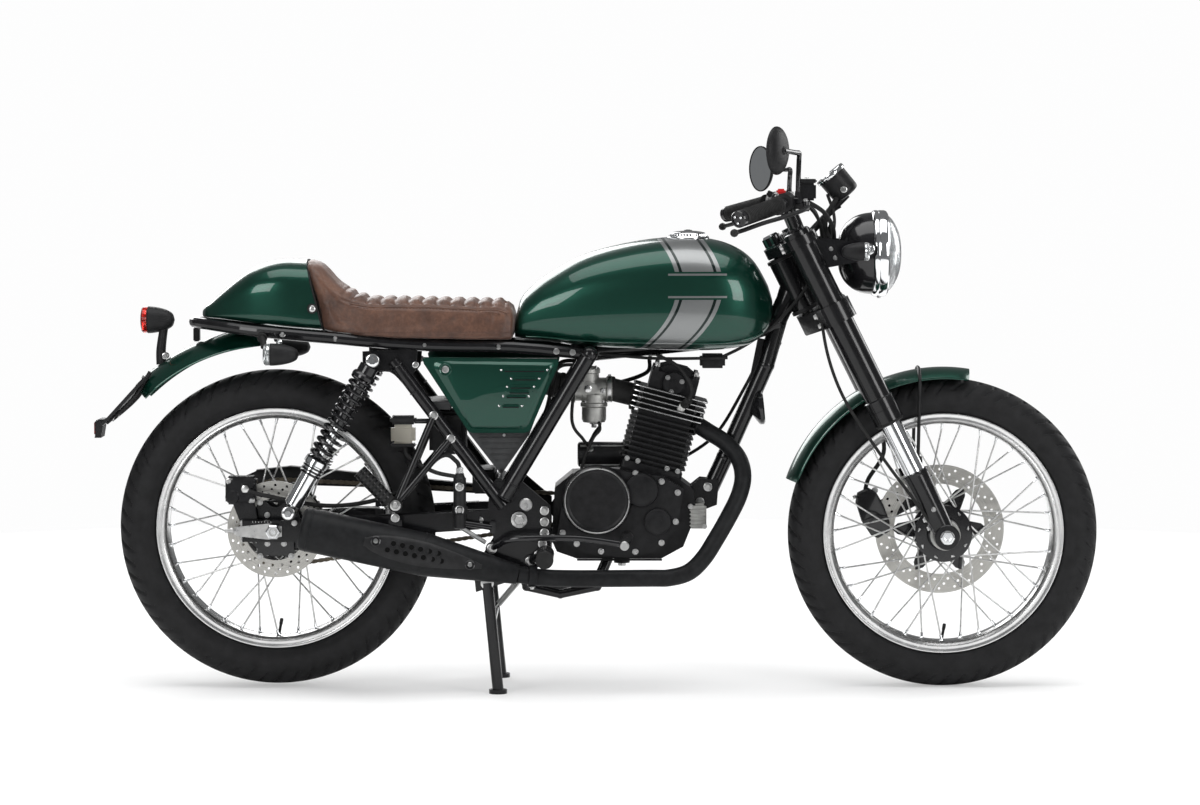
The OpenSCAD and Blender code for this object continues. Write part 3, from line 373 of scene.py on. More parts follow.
class Shape:
    """Collects faces in frame metres and becomes one Blender object."""

    def __init__(self):
        self.verts, self.faces, self.slots, self.mats = [], [], [], []

    def add(self, verts, faces, mat):
        if mat not in self.mats:
            self.mats.append(mat)
        slot, base = self.mats.index(mat), len(self.verts)
        self.verts.extend(tuple(float(c) for c in v) for v in verts)
        self.faces.extend(tuple(base + i for i in f) for f in faces)
        self.slots.extend([slot] * len(faces))

    def rings(self, rings, mat, close=True, around=True):
        """Skin over rings of equally many points, with both ends filled."""
        n, verts = len(rings[0]), [p for ring in rings for p in ring]
        faces = []
        for i in range(len(rings) - 1):
            for k in range(n if around else n - 1):
                a, b = i * n + k, i * n + (k + 1) % n
                faces.append((a, b, b + n, a + n))
        if close:
            faces.append(tuple(range(n - 1, -1, -1)))
            faces.append(tuple(range((len(rings) - 1) * n, len(rings) * n)))
        self.add(verts, faces, mat)

    def lathe(self, origin, direction, profile, mat, n=48, closed=False, ends=True):
        """Profile of (radius, height) in mm turned about direction at origin (frame metres)."""
        d = unit(direction)
        side, up = across_axes(d)
        o = np.asarray(origin, float)
        rings = []
        for r, h in profile:
            r = max(r, 0.01)
            rings.append([o + d * h * MM + (side * math.cos(a) + up * math.sin(a)) * r * MM
                          for a in np.linspace(0, 2 * math.pi, n, endpoint=False)])
        if closed:
            rings.append(rings[0])
        self.rings(rings, mat, close=ends and not closed)

    def rod(self, a, b, r, mat, n=20, chamfer=0.6, r2=None):
        """Round bar between two frame points, with chamfered ends."""
        a, b = np.asarray(a, float), np.asarray(b, float)
        length = np.linalg.norm(b - a) / MM
        r2 = r if r2 is None else r2
        c = min(chamfer, r * 0.4, r2 * 0.4, length * 0.3)
        self.lathe(a, b - a, [(r - c, 0), (r, c), (r2, length - c), (r2 - c, length)], mat, n)

    def tube(self, points, r, mat, n=12, steps=8, taper=None, flat=1.0):
        """Round tube along a smooth path of frame points; taper is the end radius."""
        path = smooth_path(points, steps) if steps > 1 else [np.asarray(p, float) for p in points]
        side = None
        rings = []
        for i, p in enumerate(path):
            t = unit(path[min(i + 1, len(path) - 1)] - path[max(i - 1, 0)])
            if side is None:
                side = across_axes(t)[0]
            side = unit(side - t * np.dot(side, t))
            up = np.cross(side, t)
            radius = r if taper is None else r + (taper - r) * i / (len(path) - 1)
            rings.append([p + (side * math.cos(a) + up * flat * math.sin(a)) * radius * MM
                          for a in np.linspace(0, 2 * math.pi, n, endpoint=False)])
        self.rings(rings, mat)

    def block(self, low, high, mat, bevel=2.0, turn=None, centre=None, segments=2):
        """Box between two bike points with rounded edges, turned by a matrix about centre."""
        bm = bmesh.new()
        bmesh.ops.create_cube(bm, size=1.0)
        lo, hi = Vector(low), Vector(high)
        size, mid = hi - lo, (hi + lo) / 2
        bmesh.ops.transform(bm, matrix=Matrix.Translation(mid) @ Matrix.Diagonal((*size, 1)), verts=bm.verts)
        self.take(bm, mat, bevel, turn, centre, segments)

    def prism(self, outline, y0, y1, mat, bevel=1.5, turn=None, centre=None, segments=2):
        """Plate with an outline of (x, z) between two y planes, edges rounded."""
        bm = bmesh.new()
        bottom = [bm.verts.new((x, y0, z)) for x, z in outline]
        face = bm.faces.new(bottom)
        ext = bmesh.ops.extrude_face_region(bm, geom=[face])
        moved = [v for v in ext["geom"] if isinstance(v, bmesh.types.BMVert)]
        bmesh.ops.translate(bm, vec=(0, y1 - y0, 0), verts=moved)
        bmesh.ops.recalc_face_normals(bm, faces=bm.faces)
        self.take(bm, mat, bevel, turn, centre, segments)

    def take(self, bm, mat, bevel=0.0, turn=None, centre=None, segments=2):
        if bevel:
            bmesh.ops.bevel(bm, geom=bm.edges[:], offset=bevel, segments=segments, affect="EDGES",
                            clamp_overlap=True)
        if turn is not None:
            c = Vector(centre)
            bmesh.ops.transform(bm, matrix=Matrix.Translation(c) @ turn.to_4x4() @ Matrix.Translation(-c),
                                verts=bm.verts)
        bm.verts.index_update()
        self.add([at(*v.co) for v in bm.verts], [[v.index for v in f.verts] for f in bm.faces], mat)
        bm.free()

    def bolt(self, place, normal, r, mat, head=4.0, washer=True, hexagon=True):
        """Bolt head with its washer, standing on a surface at a frame point."""
        if washer:
            self.lathe(place, normal, [(r * 1.45, 0), (r * 1.45, 1.0), (r * 1.3, 1.4), (r * 0.5, 1.4)], mat,
                       20)
        n = 6 if hexagon else 20
        start = np.asarray(place) + unit(normal) * 1.2 * MM
        self.lathe(start, normal, [(r, 0), (r, head * 0.8), (r * 0.86, head), (r * 0.45, head),
                                   (r * 0.4, head * (0.55 if not hexagon else 1.0))], mat, n)

    def spin(self, side, x, y, z, *rest, **options):
        """Lathe that starts at a bike point on one side and points straight outwards."""
        self.lathe(at(x, side * y, z), (0, side, 0), *rest, **options)

    def side_bolt(self, side, x, y, z, r, head=4.0, mat="steel", **options):
        """Bolt that stands out from one side of the bike."""
        self.bolt(at(x, side * y, z), (0, side, 0), r, mat, head, **options)

    def make(self, name, body, replaces=(), angle=32, smooth=True):
        mesh = bpy.data.meshes.new(name)
        mesh.from_pydata(self.verts, [], self.faces)
        mesh.validate()
        for mat in self.mats:
            mesh.materials.append(M[mat])
        if len(mesh.polygons) == len(self.slots):
            mesh.polygons.foreach_set("material_index", self.slots)
        bm = bmesh.new()
        bm.from_mesh(mesh)
        bmesh.ops.remove_doubles(bm, verts=bm.verts, dist=1e-6)
        bmesh.ops.recalc_face_normals(bm, faces=bm.faces)
        bm.to_mesh(mesh)
        bm.free()
        if smooth:
            mesh.shade_smooth()
            mesh.set_sharp_from_angle(angle=math.radians(angle))
        obj = bpy.data.objects.new(name, mesh)
        bpy.context.scene.collection.objects.link(obj)
        if body:
            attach(obj, body)
        if replaces:
            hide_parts(*replaces)
        return obj


# ---------------------------------------------------------------- wheels

def tyre(name, body, node, axle, r, w, rim_w):
    """Tyre with cut tread: bent grooves on both shoulders."""
    mid = (RIM_R + r) / 2 - 6
    wall = [(RIM_R - 12, rim_w / 2 - 4.4), (RIM_R + 1, rim_w / 2 - 4.2), (RIM_R + 4, rim_w / 2 + 1.5),
            ((RIM_R + mid) / 2 + 3, w / 2 - 2.5), (mid, w / 2)]
    wall = [tuple(p) for p in smooth_path(wall, 4)]
    crown = [(mid + (r - mid) * math.sin(a), w / 2 * math.cos(a))
             for a in np.linspace(0.06, math.pi / 2, 26)]
    half = wall + crown
    profile = np.array(half + [(p[0], -p[1]) for p in reversed(half[:-1])])
    count, around = len(profile), 720
    pitch, groove = 360 / 60, 1.5
    verts = []
    for i in range(around):
        deg = 360 * i / around
        a = math.radians(deg)
        for rad, y in profile:
            across_tread = abs(y) / (w / 2)
            depth = 0.0
            if rad > mid + 0.14 * (r - mid):
                # each shoulder's grooves start apart from the middle and sweep back as they go out
                shift = 0.5 * pitch if y < 0 else 0.0
                bend = 4.0 * across_tread + 3.5 * across_tread ** 4
                phase = (deg + shift - bend) % pitch
                near = min(phase, pitch - phase)
                reach = 0.14 < across_tread < (0.985 if int((deg + shift - bend + pitch / 2) // pitch) % 2
                    else 0.9)
                if reach and near < groove / 2:
                    depth = 4.0 if across_tread < 0.93 else 2.6
            rr = rad - depth
            verts.append((axle.x + rr * MM * math.cos(a), axle.y + y * MM, axle.z + rr * MM * math.sin(a)))
    faces = []
    for i in range(around):
        j = (i + 1) % around
        faces += [(i * count + k, i * count + k + 1, j * count + k + 1, j * count + k)
                  for k in range(count - 1)]
    s = Shape()
    s.add(verts, faces, "tyre")
    inner = [(p[0] - 6, p[1] * 0.8) for p in profile[::6]]
    s.lathe(axle, (0, 1, 0), inner, "tyre", 96, ends=False)
    s.make(name, body, [node], angle=38)


def rim(name, body, node, axle, w):
    """Stepped rim with rolled flanges, a dropped well, dimples, nipples and a valve."""
    s = Shape()
    bed = RIM_R - 22
    half = [(RIM_R - 0.6, w / 2 - 4.2), (RIM_R, w / 2 - 2.2), (RIM_R - 0.8, w / 2 - 0.4), (RIM_R - 3, w / 2),
            (RIM_R - 6, w / 2 - 1.2), (RIM_R - 9, w / 2 - 1.6), (RIM_R - 13, w / 2 - 0.8),
            (RIM_R - 17, w / 2 - 3.2),
            (bed + 1.5, w / 2 - 8), (bed, w / 2 - 11), (bed + 1.2, w / 2 - 17), (bed - 0.6, 13)]
    inside = [(bed + 3, 13), (bed + 4.4, w / 2 - 18), (bed + 5, w / 2 - 13), (RIM_R - 12, w / 2 - 4.4),
              (RIM_R - 3, w / 2 - 4.6)]
    outer = half + [(p[0], -p[1]) for p in reversed(half)]
    back = [(p[0], -p[1]) for p in reversed(inside)] + inside
    s.lathe(axle, (0, 1, 0), outer + back, "rim", 144, closed=True)
    spokes, step = 18, 20
    for side in (-1, 1):
        for k in range(spokes):
            lean = 1 if k % 2 == 0 else -1
            a = math.radians(k * step + (step / 2 if side > 0 else 0))
            b = a + math.radians(lean * 3 * step)
            foot = np.array([49 * math.cos(a), -side * (32 + lean * 4.6), 49 * math.sin(a)])
            end = np.array([(bed + 2) * math.cos(b), -side * 7, (bed + 2) * math.sin(b)])
            d = unit(end - foot)
            base = np.asarray(axle) + end * MM
            s.lathe(base - d * 14 * MM, d, [(2.1, 0), (2.7, 1), (2.7, 7), (3.4, 8), (3.4, 10), (4.6, 13)],
                    "chrome", 8)
            head = np.asarray(axle) + foot * MM
            s.lathe(head - d * 2 * MM, d, [(2.6, 0), (2.6, 2), (1.9, 5)], "steel", 8)
    valve = off(axle, 0, 0, -(bed + 1))
    s.lathe(valve, (0.18, 0, 1), [(5.2, 0), (5.2, 3), (2.9, 5), (2.9, 22), (3.6, 23), (3.6, 33), (2.4, 35)],
            "rubber", 14)
    s.make(name, body, [node], angle=40)


def holed_disc(name, body, node, axle, y, r, inner, t, holes, finish):
    """Flat disc cut from one outline with its holes, as a filled curve."""
    curve = bpy.data.curves.new(name, "CURVE")
    curve.dimensions, curve.fill_mode = "2D", "BOTH"
    curve.extrude, curve.bevel_depth = t / 2 * MM - 0.0003, 0.0003

    def circle(cx, cz, radius, n=24):
        spline = curve.splines.new("POLY")
        spline.points.add(n - 1)
        for k in range(n):
            a = 2 * math.pi * k / n
            spline.points[k].co = ((cx + radius * math.cos(a)) * MM, (cz + radius * math.sin(a)) * MM, 0, 1)
        spline.use_cyclic_u = True

    circle(0, 0, r, 120)
    circle(0, 0, inner, 96)
    for ring_r, count, radius, offset in holes:
        for k in range(count):
            a = 2 * math.pi * (k + offset) / count
            circle(ring_r * math.cos(a), ring_r * math.sin(a), radius, 14)
    holder = bpy.data.objects.new(name + "_curve", curve)
    mesh = bpy.data.meshes.new_from_object(holder)
    bpy.data.objects.remove(holder)
    mesh.transform(Matrix.Translation(Vector(axle)
                                      + Vector((0, y * MM, 0))) @ Matrix.Rotation(math.radians(90), 4, "X"))
    mesh.materials.clear()
    mesh.materials.append(M[finish])
    obj = bpy.data.objects.new(name, mesh)
    bpy.context.scene.collection.objects.link(obj)
    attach(obj, body)
    if node:
        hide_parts(node)
    return obj


def disc_holes(r, width):
    rings = []
    for k, place in enumerate((0.24, 0.5, 0.76)):
        rings.append((r - width * place, 24, 3.0, k / 3))
    return rings


def wheels():
    tyre("front_tyre_tread", "front_wheel", "front_tyre", FRONT, FRONT_R, 90, 68)
    tyre("rear_tyre_tread", "rear_wheel", "rear_tyre", REAR, REAR_R, 110, 78)
    rim("front_rim_chromed", "front_wheel", "front_rim", FRONT, 68)
    rim("rear_rim_chromed", "rear_wheel", "rear_rim", REAR, 78)
    holed_disc("front_brake_band", "front_wheel", "front_disc", FRONT, 60, 130, 92, 4, disc_holes(130, 36),
               "front_disc")
    holed_disc("rear_brake_band", "rear_wheel", "rear_disc", REAR, -60, 96, 62, 4, disc_holes(96, 32),
               "rear_disc")


def disc_carriers():
    """Star-shaped carriers of the brake discs, and the trim of the hubs."""
    for name, body, axle, y, r, out in (("front", "front_wheel", FRONT, 60, 97, 1),
                                        ("rear", "rear_wheel", REAR, -60, 67, -1)):
        carrier = Shape()
        arms = 6
        outline = []
        for k in range(arms * 8):
            a = 2 * math.pi * k / (arms * 8)
            wave = 0.5 + 0.5 * math.cos(arms * a)
            radius = 44 + (r - 44) * wave ** 1.6
            outline.append((radius * math.cos(a), radius * math.sin(a)))
        carrier.prism([(x + (axle.x - REAR.x) / MM, z + axle.z / MM) for x, z in outline], y - 2.6, y + 2.6,
                      "black", 0.6)
        for a in turns(arms):
            for radius, size, mat in ((r - 5, 5.4, "steel"), (33, 5.0, "steel")):
                place = off(axle, radius * math.cos(a), y + out * 2.6, radius * math.sin(a))
                carrier.bolt(place, (0, out, 0), size * 0.8, mat, 4 if radius > 40 else 3)
        carrier.make(name + "_disc_carrier", body)

        trim = Shape()
        for side in (-1, 1):
            start = off(axle, 0, side * 35.6, 0)
            trim.lathe(start, (0, side, 0),
                       [(57, 0), (57.4, 0.6), (56, 1.6), (52, 1.8), (34, 1.8), (34, 0)], "black", 60)
            trim.lathe(start, (0, side, 0), [(33, 0), (33, 8), (31, 12), (24, 14.5), (22, 14.5)], "black",
                       48)
        trim.make(name + "_hub_trim", body)


def hub_seals():
    """Dust seals either side of the front hub."""
    dust = Shape()
    for side in (-1, 1):
        dust.lathe(off(FRONT, 0, side * 50, 0), (0, side, 0),
                   [(21, 0), (21, 1.6), (17, 2.2), (15, 2.2)], "rubber", 32)
    dust.make("front_hub_seals", "front_wheel")


def sprocket_teeth():
    """Toothed edge and bolts of the rear sprocket."""
    teeth = Shape()
    n = 42
    outline = []
    for k in range(n * 4):
        a = 2 * math.pi * k / (n * 4)
        outline.append((0 + (85, 88.6, 88.6, 85)[k % 4] * math.cos(a),
                        REAR_Z + (85, 88.6, 88.6, 85)[k % 4] * math.sin(a)))
    teeth.prism(outline, 74, 78, "steel", 0)
    for k in range(6):
        a = math.pi * k / 3
        place = off(REAR, 56 * math.cos(a), 79.4, 56 * math.sin(a))
        teeth.bolt(place, (0, 1, 0), 5.5, "steel", 5)
    teeth.make("rear_sprocket_teeth", "rear_wheel")


# ---------------------------------------------------------------- chain

def chain():
    """Roller chain: links round the two sprockets' pitch lines."""
    r1, r2 = 88.0, 30.0
    c1, c2 = np.array([0.0, REAR_Z]), np.array([572.0, 350.0])
    v = c2 - c1
    gap = np.linalg.norm(v)
    angle, open_angle = math.atan2(v[1], v[0]), math.acos((r1 - r2) / gap)
    points = []

    def arc(c, r, a0, a1, n):
        return [c + r * np.array([math.cos(a), math.sin(a)]) for a in np.linspace(a0, a1, n)]

    points += arc(c1, r1, angle + open_angle, angle + 2 * math.pi - open_angle, 60)
    points += arc(c2, r2, angle - open_angle, angle + open_angle, 24)
    points.append(points[0])
    points = np.array(points)
    run = np.concatenate([[0], np.cumsum(np.linalg.norm(np.diff(points, axis=0), axis=1))])
    count = int(run[-1] / 12.7 / 2) * 2
    places = np.array([[np.interp(run[-1] * k / count, run, points[:, i]) for i in (0, 1)]
                       for k in range(count + 1)])
    s = Shape()
    for k in range(count):
        a, b = places[k], places[k + 1]
        mid, d = (a + b) / 2, unit(b - a)
        up = np.array([-d[1], d[0]])
        wide = 5.2 if k % 2 == 0 else 3.6
        outline = [mid + d * 6.35 * c + up * q
                   for c, q in ((-1.5, 0), (-1.25, 3.4), (-0.8, 4.2), (0, 3.0), (0.8, 4.2), (1.25, 3.4),
                                                            (1.5, 0), (1.25, -3.4), (0.8, -4.2), (0, -3.0),
                                                            (-0.8, -4.2), (-1.25, -3.4))]
        for side in (-1, 1):
            y0 = 76 + side * wide
            s.prism([tuple(p) for p in outline], y0 - 0.7, y0 + 0.7, "chain", 0)
        s.lathe(at(a[0], 76 - 6.2, a[1]), (0, 1, 0),
                [(1.8, 0), (1.8, 2.6), (3.9, 2.7), (3.9, 9.7), (1.8, 9.8), (1.8, 12.4)], "chain", 10)
    s.make("drive_chain_links", "chassis", ["chain"], smooth=False)


# ---------------------------------------------------------------- body shells

def bent(v, e):
    return math.copysign(abs(v) ** (2 / e), v)


def rows_at(rows, x):
    """Row values at x along a smooth curve through the rows."""
    rows = np.asarray(rows, float)
    xs = rows[:, 0]
    out = [x]
    for c in range(1, rows.shape[1]):
        i = int(np.clip(np.searchsorted(xs, x) - 1, 0, len(xs) - 2))
        x0, x1 = xs[i], xs[i + 1]

        def slope(j):
            low, high = max(j - 1, 0), min(j + 1, len(xs) - 1)
            return (rows[high, c] - rows[low, c]) / (xs[high] - xs[low])

        t, h = (x - x0) / (x1 - x0), x1 - x0
        m0, m1 = slope(i) * h, slope(i + 1) * h
        out.append((2 * t ** 3 - 3 * t * t + 1) * rows[i, c] + (t ** 3 - 2 * t * t + t) * m0
                   + (3 * t * t - 2 * t ** 3) * rows[i + 1, c] + (t ** 3 - t * t) * m1)
    return out


TANK = [[477, 704, 738, 74], [487, 701, 776, 87], [510, 698, 803, 97.5], [540, 695, 826, 105.5],
        [606, 686, 863, 118.8],
        [686, 681, 887, 128], [776, 678, 901, 132], [846, 677, 901, 129.4], [906, 681, 887, 121.4],
        [950, 693, 857, 101.6],
        [980, 719, 808, 68.6], [989, 745, 780, 47.5]]
TUNNEL_HALF, TUNNEL_TOP = 33, 742


def tank_ring(x, n=26):
    _, low, high, half = rows_at(TANK, x)
    mid, h, top = (low + high) / 2, (high - low) / 2, max(TUNNEL_TOP, low + 2)
    ring = []
    for k in range(2 * n + 1):
        a = math.pi / 2 * k / n
        ring.append((-half * bent(math.cos(a), 2.4), mid + h * bent(math.sin(a), 2.4)))
    side = []
    for k in range(1, n + 1):
        a = math.pi / 2 * k / n
        side.append((TUNNEL_HALF + (half - TUNNEL_HALF) * bent(math.cos(a), 3),
                     mid - h * bent(math.sin(a), 3)))
    ring += side + [(TUNNEL_HALF, min(top, high - 2)), (-TUNNEL_HALF, min(top, high - 2))]
    ring += [(-y, z) for y, z in reversed(side)][:-1] + [(-side[0][0], side[0][1])][:1]
    return [at(x, y, z) for y, z in ring]


def fuel_tank():
    s = Shape()
    xs = np.concatenate([np.linspace(477, 500, 6), np.linspace(506, 940, 62), np.linspace(946, 989, 12)])
    s.rings([tank_ring(x) for x in xs], "tank")
    # pressed seam along each lower side
    for side in (-1, 1):
        path = []
        for x in np.linspace(500, 968, 34):
            _, low, high, half = rows_at(TANK, x)
            a = math.radians(52)
            mid, h = (low + high) / 2, (high - low) / 2
            path.append(at(x, side * (TUNNEL_HALF + (half - TUNNEL_HALF) * bent(math.cos(a), 3) + 0.4),
                           mid - h * bent(math.sin(a), 3)))
        s.tube(path, 2.3, "tank", 8, 2)
    s.make("fuel_tank_painted", "chassis", ["fuel_tank"], angle=50)


def filler_cap():
    """Round filler cap with a knurled edge, lock and ring of screws."""
    cap = Shape()
    c = at(822, 0, 897)
    cap.lathe(c, (0, 0, 1), [(42, 0), (42, 4), (40.5, 6), (38, 6.6), (37, 5.6), (36, 5.6)], "chrome", 72)
    cap.lathe(c, (0, 0, 1),
              [(35, 4), (35, 11.5), (33.5, 13.2), (31, 14.2), (24, 15.6), (14, 16.8), (0.2, 17.4)],
              "chrome", 72)
    for a in turns(36):
        p = off(c, 35 * math.cos(a), 35 * math.sin(a), 5.5)
        cap.rod(p, p + np.array([0, 0, 5.4]) * MM, 1.5, "chrome", 8)
    cap.block((814, -9, 913.4), (830, 9, 915.6), "chrome", 0.8)
    cap.lathe(at(822, 0, 915.2), (0, 0, 1), [(4.6, 0), (4.6, 1.0), (3.6, 1.2)], "black", 20)
    for k in range(5):
        a = 2 * math.pi * (k + 0.25) / 5
        cap.bolt(off(c, 38.8 * math.cos(a), 38.8 * math.sin(a), 4.6), (0, 0, 1), 2.2, "steel", 2, False,
                 False)
    cap.make("fuel_filler_cap", "chassis", ["fuel_cap"])


def fuel_tap():
    """Tap under the tank with its hose."""
    tap = Shape()
    tap.block((742, 62, 660), (776, 88, 682), "alloy", 4)
    tap.rod(at(760, 88, 670), at(760, 98, 670), 9, "alloy", 24)
    tap.block((740, 97, 665), (770, 102, 675), "black", 2)
    tap.rod(at(748, 74, 662), at(746, 74, 646), 4, "steel", 14)
    tap.tube([at(746, 74, 652), at(742, 68, 628), at(700, 42, 612), at(656, 24, 604)], 4.2, "rubber", 10)
    tap.make("fuel_tap", "chassis")


COWL = [[-147, 0, 744, 756, 20], [-140, 0, 742.5, 765, 35], [-130, 0, 741, 772, 46],
        [-105, 0, 739, 795, 66], [-70, -0.05, 735, 821, 84],
        [-30, -0.1, 730, 843, 97], [30, -0.16, 723, 857, 104], [99, -0.257, 717.4, 856, 99]]


def shell_ring(row, power, low_power, n):
    x, lean, low, high, half = row
    ring = []
    for a in turns(n):
        c, s = math.cos(a), math.sin(a)
        e = low_power if s < 0 else power
        z = (low + high) / 2 + (high - low) / 2 * bent(s, e)
        ring.append(at(x + lean * (z - low), -half * bent(c, e), z))
    return ring


def tail_cowl():
    s = Shape()
    s.rings([shell_ring(rows_at(COWL, x), 2.6, 8, 96)
             for x in np.concatenate([np.linspace(-147, -128, 8), np.linspace(-122, 99, 40)])], "green")
    s.make("tail_cowl_painted", "chassis", ["tail_cowl"], angle=55)
    trim = Shape()
    edge = shell_ring(COWL[-1], 2.6, 8, 72)
    trim.tube(edge + [edge[0]], 1.8, "rubber", 8, 1)
    for side in (-1, 1):
        place = at(78, side * 103.2, 762)
        trim.lathe(place, (0, side, 0.1), [(10, 0), (10, 1.6), (8.4, 2.4), (6, 2.6)], "rubber", 28)
        trim.lathe(at(78, side * 105, 762), (0, side, 0.1),
                   [(6.4, 0), (6.4, 1.2), (4.6, 2.4), (2.4, 2.6), (2, 1.4)], "steel", 24)
    trim.make("tail_cowl_trim", "chassis")


SEAT = [[100, -0.257, 718, 857, 95], [112, -0.26, 716, 858, 102], [124, -0.26, 714, 848, 106],
        [150, -0.24, 711, 806, 112],
        [190, -0.13, 707, 783, 117], [240, -0.05, 704, 780, 119], [290, 0, 703, 779, 120],
        [400, 0, 701, 776, 118], [452, 0, 700, 775, 112], [474, 0, 700, 768, 104]]
RIB_PITCH = 27.5


def seat():
    """Leather seat: swollen by a cloth simulation, then pressed into ribs with a piped edge."""
    s = Shape()
    xs = np.concatenate([np.linspace(100, 160, 20), np.linspace(166, 474, 60)])
    s.rings([shell_ring(rows_at(SEAT, x), 3.4, 16, 120) for x in xs], "leather")
    obj = s.make("seat_leather_ribbed", "chassis", ["seat"], angle=180)
    base_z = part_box("seat")[0].z
    remesh = obj.modifiers.new("even", "REMESH")
    remesh.mode, remesh.voxel_size, remesh.use_smooth_shade = "VOXEL", 0.005, True
    bake(obj)
    rest = np.array([v.co[:] for v in obj.data.vertices])
    group = obj.vertex_groups.new(name="base")
    group.add([i for i, p in enumerate(rest) if p[2] < base_z + 0.016], 1.0, "REPLACE")
    cloth = obj.modifiers.new("swell", "CLOTH")
    cloth.settings.use_pressure = True
    cloth.settings.uniform_pressure_force = 4.0
    cloth.settings.effector_weights.gravity = 0.0
    cloth.settings.vertex_group_mass = "base"
    cloth.settings.tension_stiffness = cloth.settings.compression_stiffness = 40
    cloth.point_cache.frame_end = 20
    for f in range(1, 21):
        bpy.context.scene.frame_set(f)
    bake(obj)
    bpy.context.scene.frame_set(1)
    moved = np.array([v.co[:] for v in obj.data.vertices])
    if len(moved) == len(rest):
        step = moved - rest
        size = np.linalg.norm(step, axis=1, keepdims=True)
        step *= np.minimum(1.0, 0.0045 / np.maximum(size, 1e-9))
        obj.data.vertices.foreach_set("co", (rest + step).ravel())
    finer = obj.modifiers.new("finer", "SUBSURF")
    finer.levels = finer.render_levels = 1
    bake(obj)
    mesh = obj.data
    count = len(mesh.vertices)
    co, no = np.empty(count * 3), np.empty(count * 3)
    mesh.vertices.foreach_get("co", co)
    mesh.vertices.foreach_get("normal", no)
    co, no = co.reshape(-1, 3), no.reshape(-1, 3)
    x, y, z = (co[:, 0] - REAR.x) / MM, co[:, 1] / MM, co[:, 2] / MM
    top = np.clip((no[:, 2] - 0.05) / 0.5, 0, 1)
    top = np.maximum(top, np.clip((no[:, 0] - 0.1) / 0.4, 0, 1) * (z > 745) * (x < 250))
    along = x - 0.85 * np.clip(z - 786, 0, 90)
    inside = np.clip((along - 128) / 12, 0, 1) * np.clip((462 - x) / 8, 0, 1)
    edge = np.clip((99 - np.abs(y)) / 6, 0, 1)
    wave = np.abs(np.sin(math.pi * (along - 130) / RIB_PITCH))
    ribs = (1 - wave ** 0.7) * 7.5 * top * inside * edge
    # tucks along the piping, and slight wear
    tuck = np.exp(-((np.abs(y) - 104) / 3.0) ** 2) * 2.2 * top * inside
    wander = 0.5 * np.sin(x * 0.09 + 1.3) * np.sin(y * 0.13) + 0.35 * np.sin(x * 0.31 + y * 0.2) * np.cos(z
        * 0.11)
    seam = np.exp(-((z - 713) / 1.6) ** 2) * 1.2
    co -= no * ((ribs + tuck + seam - wander * 0.7) * MM)[:, None]
    mesh.vertices.foreach_set("co", co.ravel())
    mesh.update()
    mesh.shade_smooth()

    trim = Shape()
    tree = BVHTree.FromPolygons([v.co[:] for v in mesh.vertices], [p.vertices[:] for p in mesh.polygons])
    for side in (-1, 1):
        path = []
        for px in np.linspace(152, 462, 44):
            hit = tree.ray_cast(at(px, side * 104.5, 1000), Vector((0, 0, -1)))[0]
            if hit:
                path.append(hit)
        if len(path) > 4:
            trim.tube(path, 1.9, "leather", 8, 2)
            stitches(trim, tree, [p + Vector((0, side * 0.0042, 0.03)) for p in path[1:-1]],
                     Vector((0, 0, -1)))
        low_path = []
        for px in np.linspace(118, 470, 60):
            hit = tree.ray_cast(at(px, side * 400, 716.5), Vector((0, -side, 0)))[0]
            if hit:
                low_path.append(hit)
        stitches(trim, tree, [p + Vector((0, side * 0.03, 0)) for p in low_path], Vector((0, -side, 0)))
    trim.make("seat_piping_and_thread", "chassis")


def stitches(shape, tree, path, toward):
    """Short threads laid on the leather along a path, seen from where the path's rays start."""
    pts = np.array([p[:] for p in path])
    if len(pts) < 3:
        return
    run = np.concatenate([[0], np.cumsum(np.linalg.norm(np.diff(pts, axis=0), axis=1))])
    for k in range(int(run[-1] / 0.0065)):
        ends = []
        for d in (0.0008, 0.0046):
            q = Vector([float(np.interp(0.0065 * k + d, run, pts[:, i])) for i in range(3)])
            hit, normal, _, _ = tree.ray_cast(q, toward)
            if hit is None:
                break
            ends.append(hit + normal * 0.0003)
        if len(ends) == 2:
            shape.rod(ends[0], ends[1], 0.6, "thread", 6, 0.2)


def bake(obj):
    """Applies all modifiers of obj to its mesh."""
    graph = bpy.context.evaluated_depsgraph_get()
    mesh = bpy.data.meshes.new_from_object(obj.evaluated_get(graph), preserve_all_data_layers=True,
                                           depsgraph=graph)
    obj.modifiers.clear()
    obj.data = mesh


